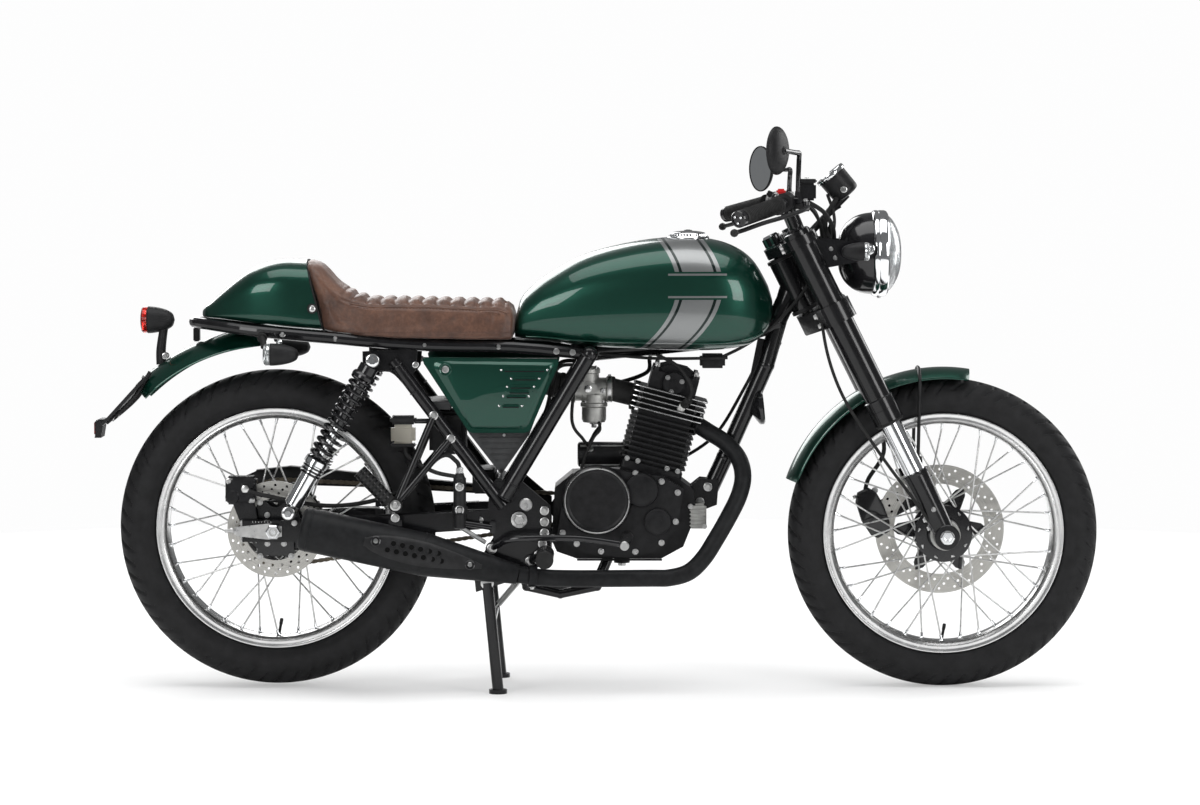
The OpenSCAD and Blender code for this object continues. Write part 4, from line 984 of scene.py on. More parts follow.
def side_covers():
    for side, name in ((-1, "right"), (1, "left")):
        s = Shape()
        outline = [(296, 667), (564, 663.5), (564, 651), (508, 521), (499, 517), (392, 517), (385, 521),
                   (297, 656)]
        s.prism(outline, side * 107, side * 114, "green", 2.2)
        inner = [(330, 655), (547, 651), (549, 644), (498, 531), (399, 531), (392, 534)]
        raised = [(306, 661), (556, 657.5), (557, 649), (503, 524), (395, 524), (389, 527)]
        rings = []
        for pts, y in ((raised, 113), (inner, 119.4),
                       ([(p[0] + (440 - p[0]) * 0.02, p[1] + (595 - p[1]) * 0.02) for p in inner], 120)):
            dense = []
            for i in range(len(pts)):
                a, b = np.array(pts[i]), np.array(pts[(i + 1) % len(pts)])
                dense += [a + (b - a) * t for t in np.linspace(0, 1, 12, endpoint=False)]
            blur = dense
            for _ in range(2):
                blur = [(blur[i - 1] + blur[i] * 2 + blur[(i + 1) % len(blur)]) / 4
                        for i in range(len(blur))]
            rings.append([at(p[0], side * y, p[1]) for p in blur])
        s.rings(rings, "green")
        # lock
        s.spin(side, 341, 119, 643, [(13, 0), (13, 2.4), (11.5, 3.4), (9.5, 2.4), (9, 1.4)], "green", 36)
        s.spin(side, 341, 119.6, 643, [(7, 0), (7, 1.6), (5.8, 2.4), (2.6, 2.4), (2.2, 1.4)], "steel", 24)
        # louvres, each with a thin black strip of painted shade under its lip
        for k, (x0, x1, z) in enumerate(((456, 538, 642), (476, 522, 625), (468, 512, 609), (460, 502, 590),
                                         (452, 488, 571), (466, 508, 599))):
            s.prism([(x0, z - 1.6), (x1, z - 1.6), (x1 - 3, z + 3.2), (x0 + 3, z + 3.2)], side * 119.4,
                    side * 122.6, "green", 1.2)
            # thin black strip under the lip: painted shade of the louvre
            s.prism([(x0 + 2, z - 3.8), (x1 - 2, z - 3.8), (x1 - 2, z - 1.7), (x0 + 2, z - 1.7)],
                    side * 119.8, side * 120.5, "black", 0.2)
            for px in (x0 - 5, x1 + 4):
                s.spin(side, px, 119.8, z, [(2, 0), (2, 0.9), (1.2, 1.2), (0.8, 0.8)],
                       "fin_edge" if k != 5 else "green", 10)
        s.make("side_cover_" + name, "chassis", ["side_covers"], angle=28)


def fender_shell(name, body, node, axle, r, drop, w, a0, a1, extras=None):
    """Curved mudguard with rolled edges."""
    s = Shape()
    n = 26
    rings = []
    for deg in np.linspace(a0, a1, 90):
        a = math.radians(deg)
        nose = 1.0
        edge = min(deg - a0, a1 - deg)
        if edge < 5:
            nose = 1 - 0.34 * (1 - edge / 5) ** 2.2
        outer, inner = [], []
        for k in range(-n, n + 1):
            q = k / n
            y = w / 2 * q * nose
            rr = r - drop * abs(q) ** 2.2
            outer.append((rr, y))
            inner.append((rr - 2.2, y * 0.975))
        ring = outer + inner[::-1]
        rings.append([off(axle, rr * math.cos(a), y, rr * math.sin(a)) for rr, y in ring])
    s.rings(rings, "green")
    for q in (-1, 1):
        path = []
        for deg in np.linspace(a0 + 2.2, a1 - 2.2, 50):
            a = math.radians(deg)
            edge = min(deg - a0, a1 - deg)
            nose = 1.0 if edge >= 5 else 1 - 0.34 * (1 - edge / 5) ** 2.2
            rr = r - drop
            path.append(off(axle, rr * math.cos(a), q * w / 2 * nose * 0.985, rr * math.sin(a)))
        s.tube(path, 1.9, "green", 8, 1)
    if extras:
        extras(s)
    s.make(name, body, [node], angle=40)


def fenders():
    fender_shell("front_fender_painted", "steering", "front_fender", FRONT, FRONT_R + 22, 20, 112, 81, 161,
                 front_stays)
    fender_shell("rear_fender_painted", "chassis", "rear_fender", REAR, REAR_R + 86, 34, 136, 94, 135,
                 rear_bracket)


def front_stays(s):
    high = FRONT_R + 22 - 12
    for side in (-1, 1):
        s.rod(steer_at(46, side * 46, high), steer_at(46, side * 67.6, high), 8.6, "satin", 20)
        s.lathe(steer_at(46, side * 52, high), tuple(STEER_AXIS), [(3, -9), (6, -9), (6, 9), (3, 9)],
                "steel", 12)
        for step in (-1, 1):
            s.bolt(steer_at(46 + step * 9, side * 55.5, high - 16), (0, side, 0), 4, "steel", 3)
        bridge = [steer_at(46, side * 54, high - 2), steer_at(48, side * 57, high - 30),
                  steer_at(50, side * 57.5, high - 58)]
        s.tube(bridge, 6, "satin", 10, 6, flat=0.5)
    # brace: a strap over the crown with a leg down each side of the tyre, ending in a rubber knob

    def place(y, z):
        return off(FRONT, -57 + z * 0.02, y, z)

    crown = math.sqrt((FRONT_R + 22) ** 2 - 57 ** 2)
    over = [(side * y, crown + lift)
            for side, pairs in ((-1, ((58, -180), (58.5, -90), (59, -34), (50, -14), (26, 0))),
                                                         (1, ((0, 3), (26, 0), (50, -14), (59, -34),
                                                             (58.5, -90), (58, -180)))) for y, lift in pairs]
    s.tube([place(y, z) for y, z in over], 4.4, "satin", 12, 6, flat=0.8)
    for side in (-1, 1):
        s.lathe(place(side * 58, crown - 170), (0, 0, -1),
                [(4, 0), (7.4, 1), (8.6, 8), (8.6, 18), (6.4, 22)], "rubber", 24)


def rear_bracket(s):
    s.block((-167, -13, REAR_Z + 372), (-155, 13, REAR_Z + 400), "black", 2)
    for y in (-28, 28):
        s.bolt(at(-208, y, REAR_Z + 326), (-0.5, 0, 0.85), 4.5, "steel", 3)


# ---------------------------------------------------------------- lamps, dial, mirrors

def bullet_lamp(name, node, body, centre_x, side_y, z, r, length, glass, facing, stem):
    """Bullet shaped indicator: shell, bright ring, ribbed lens. facing is where the lens looks."""
    s = Shape()
    tail = at(centre_x, side_y, z)
    shell = [(0.3, 0), (r * 0.45, length * 0.06), (r * 0.7, length * 0.2), (r * 0.86, length * 0.38),
             (r * 0.96, length * 0.58), (r, length * 0.74)]
    s.lathe(tail, (facing, 0, 0),
            [tuple(p) for p in smooth_path(shell, 3)] + [(r, length * 0.77), (r * 0.94, length * 0.77)],
            "plastic", 48, ends=False)
    s.lathe(tail, (facing, 0, 0),
            [(r * 0.94, length * 0.76), (r * 1.0, length * 0.78), (r * 1.0, length * 0.8),
             (r * 0.93, length * 0.81)], "plastic", 48)
    ribs = [(r * 0.92, length * 0.79)]
    for k in range(5):
        at_h = length * (0.81 + 0.028 * k)
        ribs += [(r * 0.965, at_h), (r * 0.975, at_h + length * 0.012), (r * 0.94, at_h + length * 0.02)]
    ribs += [(r * 0.86, length * 0.975), (r * 0.6, length), (0.2, length * 1.004)]
    s.lathe(tail, (facing, 0, 0), ribs, glass, 48)
    s.lathe(tail, (facing, 0, 0),
            [(0.3, length * 0.7), (r * 0.3, length * 0.72), (r * 0.7, length * 0.78),
             (r * 0.84, length * 0.9)], "chrome", 32, ends=False)
    stem(s)
    s.make(name, body, [node], angle=35)


def indicators():
    for side, word in ((-1, "right"), (1, "left")):
        bullet_lamp("rear_indicator_" + word, "rear_indicators", "chassis", 55, side * 150, 674, 22, 70,
                    "glass", -1,
                    lambda s, q=side: (s.tube([at(-14, q * 150, 688), at(-16, q * 138, 699),
                        at(-22, q * 104, 707)], 5.8, "rubber", 14),
                                       s.lathe(at(-20, q * 113, 705), (0, q, -0.2),
                                           [(9, -4), (10, -3), (10, 3), (9, 4)], "rubber", 20)))
        bullet_lamp("front_indicator_" + word, "front_indicators", "steering", 1118, side * 158, 876, 18.5,
                    56, "glass", 1,
                    lambda s, q=side: (s.tube([at(1140, q * 146, 876), at(1139, q * 120, 877),
                        at(1136, q * 93, 878)], 5.4, "rubber", 14),
                                       s.spin(q, 1136, 98, 878, [(8, 0), (9, 1), (9, 5), (7, 6)], "rubber",
                                           20)))


def tail_lamp():
    """Red bullet lamp on a stalk above the rear mudguard."""
    def tail_stem(s):
        s.tube([at(-226, 0, 724), at(-230, 0, 700), at(-233, 0, 672), at(-232, 0, 647)], 11, "plastic", 20,
               8, taper=14, flat=0.75)
        s.side_bolt(-1, -224, 10.5, 664, 4.5, 3)
        s.side_bolt(1, -224, 10.5, 664, 4.5, 3)
    bullet_lamp("tail_lamp", "tail_light", "chassis", -205, 0, 736, 27, 67, "red", -1, tail_stem)


def headlamp():
    """Round headlamp: shell, bright ring, reflector, fluted glass and its ears."""
    s = Shape()
    lamp = at(0, 0, 869)
    shell = [(0.4, 1122), (20, 1122.6), (34, 1124), (48, 1129.5), (58, 1136), (67, 1145.5), (74, 1156),
             (79, 1170), (81.5, 1186), (82, 1192)]
    s.lathe(lamp, (1, 0, 0), [tuple(p) for p in smooth_path(shell, 4)] + [(78, 1192), (76, 1186)], "black",
            96, ends=False)
    ring = [(81, 1188), (84, 1190), (86, 1194), (86, 1199), (85, 1201), (86, 1203), (86, 1213),
            (84.5, 1217), (80, 1220), (77, 1219), (77, 1208)]
    s.lathe(lamp, (1, 0, 0), ring, "chrome", 120, ends=False)
    dome = [(78, 1214.5), (76.5, 1220), (68, 1229), (55, 1237), (40, 1243), (22, 1246.5), (0.2, 1247.6)]
    s.lathe(lamp, (1, 0, 0), [tuple(p) for p in smooth_path(dome, 4)], "fluted", 96, ends=False)
    bowl = [(76, 1212), (66, 1192), (50, 1174), (30, 1162), (11, 1158), (10, 1150)]
    s.lathe(lamp, (1, 0, 0), [tuple(p) for p in smooth_path(bowl, 4)], "chrome", 72, ends=False)
    s.lathe(lamp, (1, 0, 0), [(9, 1156), (10, 1186), (7, 1194), (0.2, 1196)], "glass", 24)
    for k in range(-6, 7):
        y = k * 11.4
        h = math.sqrt(max(73 ** 2 - y * y, 1))
        pts = [at(1216.4 + 27 * (1 - (zz * zz + y * y) / 73 ** 2), y, 869 + zz)
               for zz in np.linspace(-h, h, 15)]
        s.tube(pts, 0.9, "fluted", 6, 1)
    s.lathe(at(1204, 0, 784.5), (0, 0, -1), [(4, 0), (4, 3), (2.6, 5)], "steel", 16)
    for side in (-1, 1):
        y = side * 89
        s.prism([(1062, 896), (1090, 902), (1184, 889), (1192, 879), (1190, 868), (1150, 853), (1092, 842),
                 (1074, 858)], y, y + side * 4, "black", 1.2)
        s.spin(side, 1178, 84, 879, [(7, 0), (7, 5)], "black", 20)
        s.spin(side, 1178, 93, 879, [(13, 0), (13, 2), (11, 3.4), (9, 3.4)], "rubber", 28)
        s.side_bolt(side, 1178, 96, 879, 7, 5.5, mat="chrome")
        for x, z in ((1102, 880), (1110, 862)):
            s.side_bolt(side, x, 93, z, 3, 2.4, washer=True, hexagon=False)
    s.make("headlamp", "steering", ["headlight"], angle=35)


def speedometer():
    s = Shape()
    n = unit((-0.647, 0, 0.763))
    c = np.asarray(at(1122, 0, 1007))
    cup = [(8, -30), (16, -29.6), (25, -27), (28, -22), (28.6, -14), (28.8, 0), (29, 21)]
    s.lathe(c, n, [tuple(p) for p in smooth_path(cup, 3)] + [(26, 21)], "satin", 64, ends=False)
    s.lathe(c, n, [(28, 19), (31, 20), (32, 22), (32, 27), (31, 29), (28.6, 29.3), (27.6, 28), (27.6, 23)],
            "chrome", 72, ends=False)
    s.lathe(c, n, [(27.4, 22), (27.4, 23), (0.2, 23.2)], "satin", 48)
    s.lathe(c, n, [(27.8, 26.6), (20, 28), (10, 28.7), (0.2, 28.9)], "glass", 48)
    side, up = np.array([0, 1.0, 0]), np.cross(n, np.array([0, 1.0, 0]))
    face = c + n * 23.5 * MM
    for k in range(49):
        a = math.radians(225 - 270 * k / 48)
        d = -side * math.cos(a) + (-up if up[0] < 0 else up) * math.sin(a)
        long_tick = k % 6 == 0
        s.rod(face + d * (19.5 if long_tick else 22) * MM, face + d * 25.2 * MM,
              0.42 if long_tick else 0.22, "white", 6, 0.05)
    a = math.radians(225)
    d = -side * math.cos(a) + (-up if up[0] < 0 else up) * math.sin(a)
    s.rod(face + n * 1.2 * MM - d * 5 * MM, face + n * 1.2 * MM + d * 20 * MM, 0.7, "button", 8, 0.1, r2=0.3)
    s.lathe(face, n, [(3.4, 0), (3.4, 2), (2.6, 2.6)], "satin", 20)
    foot = steer_at(70, 0, 654)
    s.tube([foot, np.asarray(foot) * 0.4 + (c - n * 26 * MM) * 0.6, c - n * 27 * MM], 7.4, "satin", 14)
    s.bolt(c - n * 14 * MM + np.array([0, -0.0286, 0]), (0, -1, 0), 4.6, "steel", 3.6)
    s.bolt(c - n * 14 * MM + np.array([0, 0.0286, 0]), (0, 1, 0), 4.6, "steel", 3.6)
    s.make("speedometer_dial", "steering", ["speedometer"])


def mirrors():
    for side, word, centre, stem_h in ((-1, "right", (991, -230, 1073), 99),
                                       (1, "left", (980, 240, 1037), 66)):
        s = Shape()
        n = unit((-0.89, -side * 0.45, 0))
        c = np.asarray(at(*centre))
        back = [(0.3, -12.4), (14, -12), (27, -10), (37, -6.6), (44, -2), (46.6, 1.5), (47, 4), (46.4, 5.2),
                (44.6, 5.2)]
        s.lathe(c, n, [tuple(p) for p in smooth_path(back, 3)], "plastic", 80, ends=False)
        s.lathe(c, n, [(44.8, 4.2), (30, 4.6), (0.2, 4.9)], "mirror", 72)
        foot = np.asarray(at(1032, side * 170, 973))
        top = foot + np.array([2, side * 4, stem_h - 4]) * MM
        ball = c - n * 12 * MM
        path = [foot - np.array([0, 0, 6]) * MM, foot + np.array([1, side, stem_h * 0.5]) * MM,
                top - np.array([0, 0, 12]) * MM,
                top, top + (ball - top) * 0.22, ball]
        s.tube(path, 5, "black", 14, 8)
        s.lathe(ball - n * 3 * MM, n, [(5, 0), (8, 2), (9, 5), (9, 8)], "plastic", 24)
        s.lathe(foot - np.array([0, 0, 2]) * MM, (0, 0, 1),
                [(9.5, 0), (9.5, 9), (8.6, 10), (7, 10), (6.4, 22), (5, 24)], "black", 6)
        s.make("mirror_" + word, "steering", ["mirrors"])


# ---------------------------------------------------------------- handlebar and its controls

GRIP_IN, GRIP_OUT = np.array([995, 215, 968.0]), np.array([909, 340, 941.5])
GRIP_AXIS = unit(GRIP_OUT - GRIP_IN)


def handlebar():
    s = Shape()
    half = [np.array(p, float)
            for p in ([1014, 0, 976], [1015, 60, 976], [1013, 130, 976], [1006, 180, 973], [995, 215, 968])]
    half = smooth_path(half, 6) + [GRIP_OUT - GRIP_AXIS * 14]
    mirror_y = np.array([1, -1, 1])
    s.tube([at(*(p * mirror_y)) for p in reversed(half[1:])] + [at(*p) for p in half], 11, "black", 24, 1)
    for side in (-1, 1):
        m = np.array([1, side, 1])
        end, dd = at(*(GRIP_OUT * m)), GRIP_AXIS * m
        s.lathe(np.asarray(end) - dd * 13 * MM, dd,
                [(14, 0), (16.4, 1), (16.5, 11), (15.2, 13), (12.8, 13), (12.4, 10.5)], "black", 40)
        u, w = across_axes(dd)
        for a in turns(3, 0.6):
            s.bolt(np.asarray(end) - dd * 2.4 * MM + (u * math.cos(a) + w * math.sin(a)) * 7.6 * MM, dd,
                   2.3, "chrome", 2.4, False, False)
    s.make("handlebar_tube", "steering", ["handlebar"])


def grips():
    """Ribbed rubber grips."""
    g = Shape()
    for side in (-1, 1):
        m = np.array([1, side, 1])
        a, dd = np.asarray(at(*((GRIP_IN + GRIP_AXIS * 8) * m))), GRIP_AXIS * m
        length = np.linalg.norm(GRIP_OUT - GRIP_IN) - 22
        profile = [(12, 0), (18.4, 0.5), (18.6, 4), (16.6, 6)]
        for k in range(22):
            h = 9 + (length - 16) * k / 22
            step = (length - 16) / 22
            profile += [(15.5, h), (16.4, h + 0.5), (16.4, h + step * 0.55), (15.5, h + step * 0.62)]
        profile += [(16.3, length - 5), (16.3, length - 0.6), (12, length)]
        g.lathe(a, dd, profile, "rubber", 36)
    g.make("grips_ribbed", "steering", ["grips"], angle=25)


def hand_controls():
    """Switches, lever perches and levers, and the brake reservoir on the right."""
    c = Shape()
    for side in (-1, 1):

        def spot(x, y, z, side=side):
            return at(x, side * y, z)

        # switch housing with a seam, round the bar
        a, b = np.array(spot(1013.5, 146, 973.5)), np.array(spot(1002, 192, 971))
        ax = unit(b - a)
        c.lathe(a, ax,
                [(15, 0), (18.4, 1.6), (19, 5), (19, 22), (18.3, 22.6), (18.3, 23.6), (19, 24.2), (19, 40),
                 (18.4, 45), (14, 47)], "plastic", 40)
        c.rod(spot(1024, 164, 969), spot(1050, 172, 965), 8.5, "plastic", 24, 2)
        c.lathe(spot(1047, 172, 975), (0, 0, -1), [(7, 0), (8, 1), (8, 19), (7, 20)], "black", 24)
        c.bolt(spot(1047, 172, 975), (0, 0, 1), 4.6, "steel", 3.4)
        # lever: flat blade with a ball end
        lever = [spot(1050, 168, 965), spot(1048, 192, 962), spot(1040, 222, 958), spot(1004, 258, 946),
                 spot(960, 290, 934), spot(920, 330, 921), spot(903, 344, 916.5)]
        c.tube(lever, 6.4, "satin", 16, 8, flat=0.62)
        ball = np.asarray(spot(902, 345, 916))
        c.lathe(ball - np.array([0, 0, 8]) * MM, (0, 0, 1),
                [(0.3, 0), (5, 1.6), (7.6, 5), (8, 8), (7.6, 11), (5, 14.4), (0.3, 16)], "satin", 24)
        # lower switch block and its screws
        c.block((996, min(side * 150, side * 186), 944), (1022, max(side * 150, side * 186), 962),
                "plastic", 4)
        for k in (0, 1):
            c.bolt(spot(1003 + 12 * k, 186.4, 953), (0, side, 0), 2.6, "steel", 2, False, False)
        # bright collars of cable and clamp
        c.bolt(spot(1028, 142, 974), (1, 0, 0.2), 4, "steel", 4)
        c.bolt(spot(1030, 154, 960), (1, 0, -0.2), 4, "steel", 4)
    # red engine stop button and starter button on the right, horn and dip on the left
    c.block((990, -182, 989), (1008, -166, 999), "button", 3)
    c.lathe(at(985, -172, 968), (-1, 0, 0.2), [(6.6, 0), (6.6, 5), (5.6, 6.4)], "button", 20)
    c.lathe(at(986, 172, 962), (-1, 0, -0.1), [(6.6, 0), (6.6, 4), (5.6, 5)], "amber", 20)
    c.block((986, 158, 980), (1000, 172, 991), "satin", 2.4)
    c.rod(at(1000, 182, 984), at(992, 198, 990), 3.4, "satin", 12)
    # brake fluid reservoir
    c.block((1034, -168, 976), (1068, -112, 1010), "black", 4)
    c.block((1032.5, -169.5, 1010), (1069.5, -110.5, 1018), "plastic", 2.4)
    for y in (-160, -120):
        c.bolt(at(1051, y, 1018), (0, 0, 1), 3, "steel", 2, False, False)
    c.lathe(at(1034, -140, 992), (-1, 0, 0), [(7, 0), (7, 1.4), (5.4, 1.8)], "fluid", 24)
    c.rod(at(1046, -148, 977), at(1030, -156, 972), 9, "black", 20, 2)
    c.make("hand_controls_detailed", "steering", ["hand_controls"])


# ---------------------------------------------------------------- engine

LEAN = math.radians(14.7)
CYLINDER_X, CYLINDER_Z = 747, 437


def on_cylinder(x, y, z):
    """Frame point of a point counted from the middle of the cylinder's foot, up its axis."""
    return at(CYLINDER_X + x * math.cos(LEAN) + z * math.sin(LEAN), y,
              CYLINDER_Z - x * math.sin(LEAN) + z * math.cos(LEAN))


CYL_UP = Vector((math.sin(LEAN), 0, math.cos(LEAN)))


def fin_outline(w_x, w_y, corner, grow=0.0):
    x, y, c = w_x / 2 + grow, w_y / 2 + grow, corner
    cut = corner * 0.3
    right = [(x, y - c), (x - cut, y - cut), (x - c, y)]
    left = [(-px, py) for px, py in reversed(right)]
    return right + left + [(-px, -py) for px, py in right] + [(px, -py) for px, py in reversed(right)]


def fins():
    s = Shape()
    pitch = 10.6
    barrel_fins = [(132, 116, 16 + k * pitch, "engine") for k in range(9)]
    stack = barrel_fins + [(150, 126, 116 + k * pitch, "fin_edge") for k in range(5)]
    for w_x, w_y, z, edge in stack:
        for low, high, grow, mat in ((-0.6, 3.2, 0.2, "engine"), (0.5, 2.1, 0.75, edge)):
            rings = [[on_cylinder(x, y, h) for x, y in fin_outline(w_x, w_y, 12, grow)]
                     for h in (z + low, z + high)]
            s.rings(rings, mat)
    # head: rocker cover ribs, studs, plug and oil line
    for k in range(4):
        y = -33 + 22 * k
        s.rings([[on_cylinder(x, y + d, h)
                  for x, h in ((-46, 196), (-42, 206), (-20, 216.5), (20, 216.5), (42, 206), (46, 196))]
                  for d in (-2.2, 2.2)], "engine")
    for x in (-40, 40):
        for y in (-42, 42):
            s.bolt(on_cylinder(x, y, 205), CYL_UP, 5.2, "steel", 7)
            s.rod(on_cylinder(x, y, 160), on_cylinder(x, y, 205), 8, "engine", 20)
    for y in (-1, 1):
        place = on_cylinder(0, y * 51, 180)
        s.lathe(place, (0, y, 0), [(24, -2), (24, 4), (21, 7), (7, 7), (7, 9), (0.3, 9)], "engine", 40)
        for a in turns(3, 0.5):
            s.bolt(on_cylinder(17 * math.cos(a), y * 57.5, 180 + 17 * math.sin(a)), (0, y, 0), 3.4, "steel",
                   3)
    s.rod(on_cylinder(26, -50, 134), on_cylinder(30, -76, 146), 7.5, "white", 18)
    s.rod(on_cylinder(30, -74, 145), on_cylinder(36, -92, 158), 8.5, "rubber", 18)
    s.tube([on_cylinder(36, -90, 157), on_cylinder(34, -98, 184), on_cylinder(0, -84, 216),
            at(760, -48, 668)], 3.6, "rubber", 12)
    for x in (-52, -30, 30, 52):
        s.bolt(on_cylinder(x, -59, 13), (0, -1, 0), 3.6, "steel", 3)
    s.make("cylinder_fins", "chassis")


def cover(s, centre, y, side, steps, bolts, bolt_r, mat="engine", phase=0.0):
    """Round engine cover with its steps and bolts."""
    place = at(centre[0], side * y, centre[1])
    s.lathe(place, (0, side, 0), steps, mat, 96)
    for a in turns(bolts, phase):
        p = at(centre[0] + bolt_r * math.cos(a), side * (y + 2), centre[1] + bolt_r * math.sin(a))
        s.lathe(p, (0, side, 0), [(6.4, -6), (6.4, 0)], mat, 16)
        s.bolt(p, (0, side, 0), 4.1, "steel", 3.2)


def engine():
    s = Shape()
    cover(s, (640, 383), 100, -1,
          [(70, -2), (70, 3), (67, 8), (66.4, 18), (64.6, 23), (61, 25.4), (58, 25.2), (55, 23.4),
           (0.3, 23.0)], 0, 0)
    s.spin(-1, 640, 121.6, 383, [(66, 0), (65.4, 1.6), (63.6, 3.4), (62.4, 3.6)], "steel", 96, ends=False)
    cover(s, (728, 403), 100, -1,
          [(34, -1), (34, 5), (31, 9), (27, 10.4), (12, 10.4), (10, 8.4), (0.3, 8.4)], 0, 0)
    cover(s, (760, 340), 100, -1, [(27, -1), (27, 4), (25, 7), (22, 8.2), (9, 8.2), (8, 6.8), (0.3, 6.8)],
          0, 0)
    rim_bolts = [(572, 318), (578, 384), (606, 424), (662, 437), (716, 436), (768, 420), (800, 398),
                 (796, 340), (768, 298), (716, 280), (648, 281), (600, 296)]
    for x, z in rim_bolts:
        s.spin(-1, x, 92, z, [(7.4, 0), (7.4, 9), (6.8, 10)], "engine", 20)
        s.side_bolt(-1, x, 102, z, 4.2, 3.4)
    # oil sight glass and filler cap
    s.spin(-1, 700, 100, 308, [(12, 0), (12, 4), (10, 5.2), (9, 4)], "engine", 32)
    s.spin(-1, 700, 101, 308, [(8.8, 0), (8.8, 2.4), (0.2, 3)], "fluid", 28)
    s.spin(-1, 596, 99, 412, [(13, 0), (13, 8), (11.5, 10), (4, 10), (3, 12), (0.3, 12)], "plastic", 28)
    for a in turns(10):
        s.rod(at(596 + 13 * math.cos(a), -100, 412 + 13 * math.sin(a)),
              at(596 + 13 * math.cos(a), -107, 412 + 13 * math.sin(a)), 1.6, "plastic", 8)
    # left: generator cover, sprocket cover bolts
    cover(s, (666, 372), 100, 1,
          [(66, -2), (66, 3), (63, 8), (62.4, 18), (60, 23), (30, 24.4), (28, 23), (0.3, 22.8)], 6, 70,
          phase=0.3)
    s.spin(1, 666, 122.6, 372, [(14, 0), (14, 3), (12, 4), (5, 4)], "steel", 6)
    for x, z in ((632, 310), (626, 424), (700, 436), (766, 424), (798, 396), (794, 336), (756, 290),
                 (706, 276)):
        s.spin(1, x, 94, z, [(7, 0), (7, 6.4), (6.4, 7)], "engine", 20)
        s.side_bolt(1, x, 101, z, 4.2, 3.4)
    # finned breather on the front right, cast alloy
    s.block((822, -64, 322), (858, -52, 372), "alloy", 5)
    for k in range(6):
        s.block((824, -68, 327 + 7.6 * k), (856, -62, 330.4 + 7.6 * k), "alloy", 1.2)
    for x, z in ((826, 367), (854, 327)):
        s.side_bolt(-1, x, 66, z, 3.6, 3)
    # case seam, drain plug and mounts
    for y in (-62, 62):
        s.block((600, y - 1.2, 258), (770, y + 1.2, 262), "engine", 0.8)
    s.bolt(at(690, 0, 249), (0, 0, -1), 9, "steel", 6)
    for x, z in ((862, 402), (846, 372), (824, 382)):
        for side in (-1, 1):
            s.side_bolt(side, x, 20.5, z, 6.2, 5)
    # base of the cylinder
    s.rings([[on_cylinder(x, y, h) for x, y in fin_outline(126, 112, 10)] for h in (-6, 9)], "engine")
    # starter motor
    s.lathe(at(604, 0, 466), (1, 0, 0),
            [(20, -3), (24, -1), (25.6, 3), (25.6, 20), (25.2, 21), (25.2, 84), (25.8, 86), (25.8, 100),
             (22, 106)], "engine", 48)
    for a in (0.8, 2.4, 4.0, 5.5):
        s.rod(at(606, 27 * math.cos(a), 466 + 27 * math.sin(a)),
              at(702, 27 * math.cos(a), 466 + 27 * math.sin(a)), 2.4, "steel", 10)
    s.bolt(at(626, -25, 478), (0, -0.7, 0.7), 5, "steel", 6)
    s.tube([at(626, -28, 482), at(612, -44, 500), at(590, -60, 540), at(600, -70, 640)], 3.4, "rubber", 10)
    s.make("engine_castings", "chassis", angle=30)


def carburettor():
    """Round-slide carburettor with its float bowl, rubber manifolds and pipes."""
    c = Shape()
    c.lathe(at(588, 0, 597), (1, 0, 0),
            [(22, 0), (25, 1), (25, 7), (23.6, 9), (23.6, 22), (26, 24), (26, 30), (23.4, 32), (23.4, 70),
             (26.4, 72), (26.4, 82), (23, 84)], "alloy", 48)
    c.lathe(at(634, 0, 529), (0, 0, 1),
            [(9, -1), (10, 0), (22, 2), (24.4, 8), (24.4, 32), (27, 34), (27, 40), (25, 42), (25, 58)],
            "alloy", 48)
    c.lathe(at(622, 0, 604), (0, 0, 1),
            [(22, 0), (22, 24), (24.4, 26), (24.4, 33), (22.6, 36), (17, 38.6), (7, 40), (7, 46), (5, 47),
             (5, 56), (3.4, 58)], "alloy", 48)
    c.block((606, -34, 588), (640, -20, 612), "alloy", 4)
    c.block((612, 20, 584), (650, 32, 604), "alloy", 4)
    for a in range(4):
        q = math.pi * a / 2 + 0.8
        c.bolt(at(634 + 25.5 * math.cos(q), 25.5 * math.sin(q), 571), (0, 0, 1), 2.6, "fin_edge", 3)
        c.bolt(at(622 + 22 * math.cos(q), 22 * math.sin(q), 639), (0, 0, 1), 2.4, "fin_edge", 3)
    c.spin(-1, 622, 34, 600, [(7.4, 0), (7.4, 5), (5.6, 6)], "fin_edge", 20)
    c.spin(-1, 651, 22, 596, [(5, 0), (5, 12), (3.4, 13), (3.4, 16)], "fin_edge", 12)
    c.bolt(at(634, 0, 528), (0, 0, -1), 6, "fin_edge", 7)
    c.lathe(at(664, 0, 598), (0.97, 0, -0.24),
            [(24, 0), (26, 1), (26, 6), (23, 8), (23, 46), (30, 48), (30, 58), (24, 60)], "rubber", 40)
    c.lathe(at(548, 0, 608), (0.98, 0, -0.2),
            [(26, 0), (27, 2), (27, 8), (25.4, 10), (25.4, 16), (27, 18), (27, 24), (25, 26), (25, 34),
             (27.5, 36), (27.5, 42)], "rubber", 40)
    for x, z in ((590, 597), (662, 598.6)):
        c.lathe(at(x, 0, z), (1, 0, 0), [(26.6, 0), (28.2, 0.3), (28.2, 6), (26.6, 6.3)], "steel", 48)
    for y, z, y2 in ((-26, 534, -40), (24, 540, 46)):
        c.tube([at(640, y * 0.6, z + 6), at(646, y, z - 16), at(632, y2, 500), at(612, y2 * 1.2, 450),
                at(590, y2 * 1.3, 330)], 3.0, "rubber", 10)
    c.tube([at(622, -3, 660), at(628, -8, 672), at(660, -20, 668), at(760, -30, 660), at(900, -44, 662)],
           3.2, "rubber", 10)
    c.make("carburettor_detailed", "chassis", ["carburettor"], angle=30)


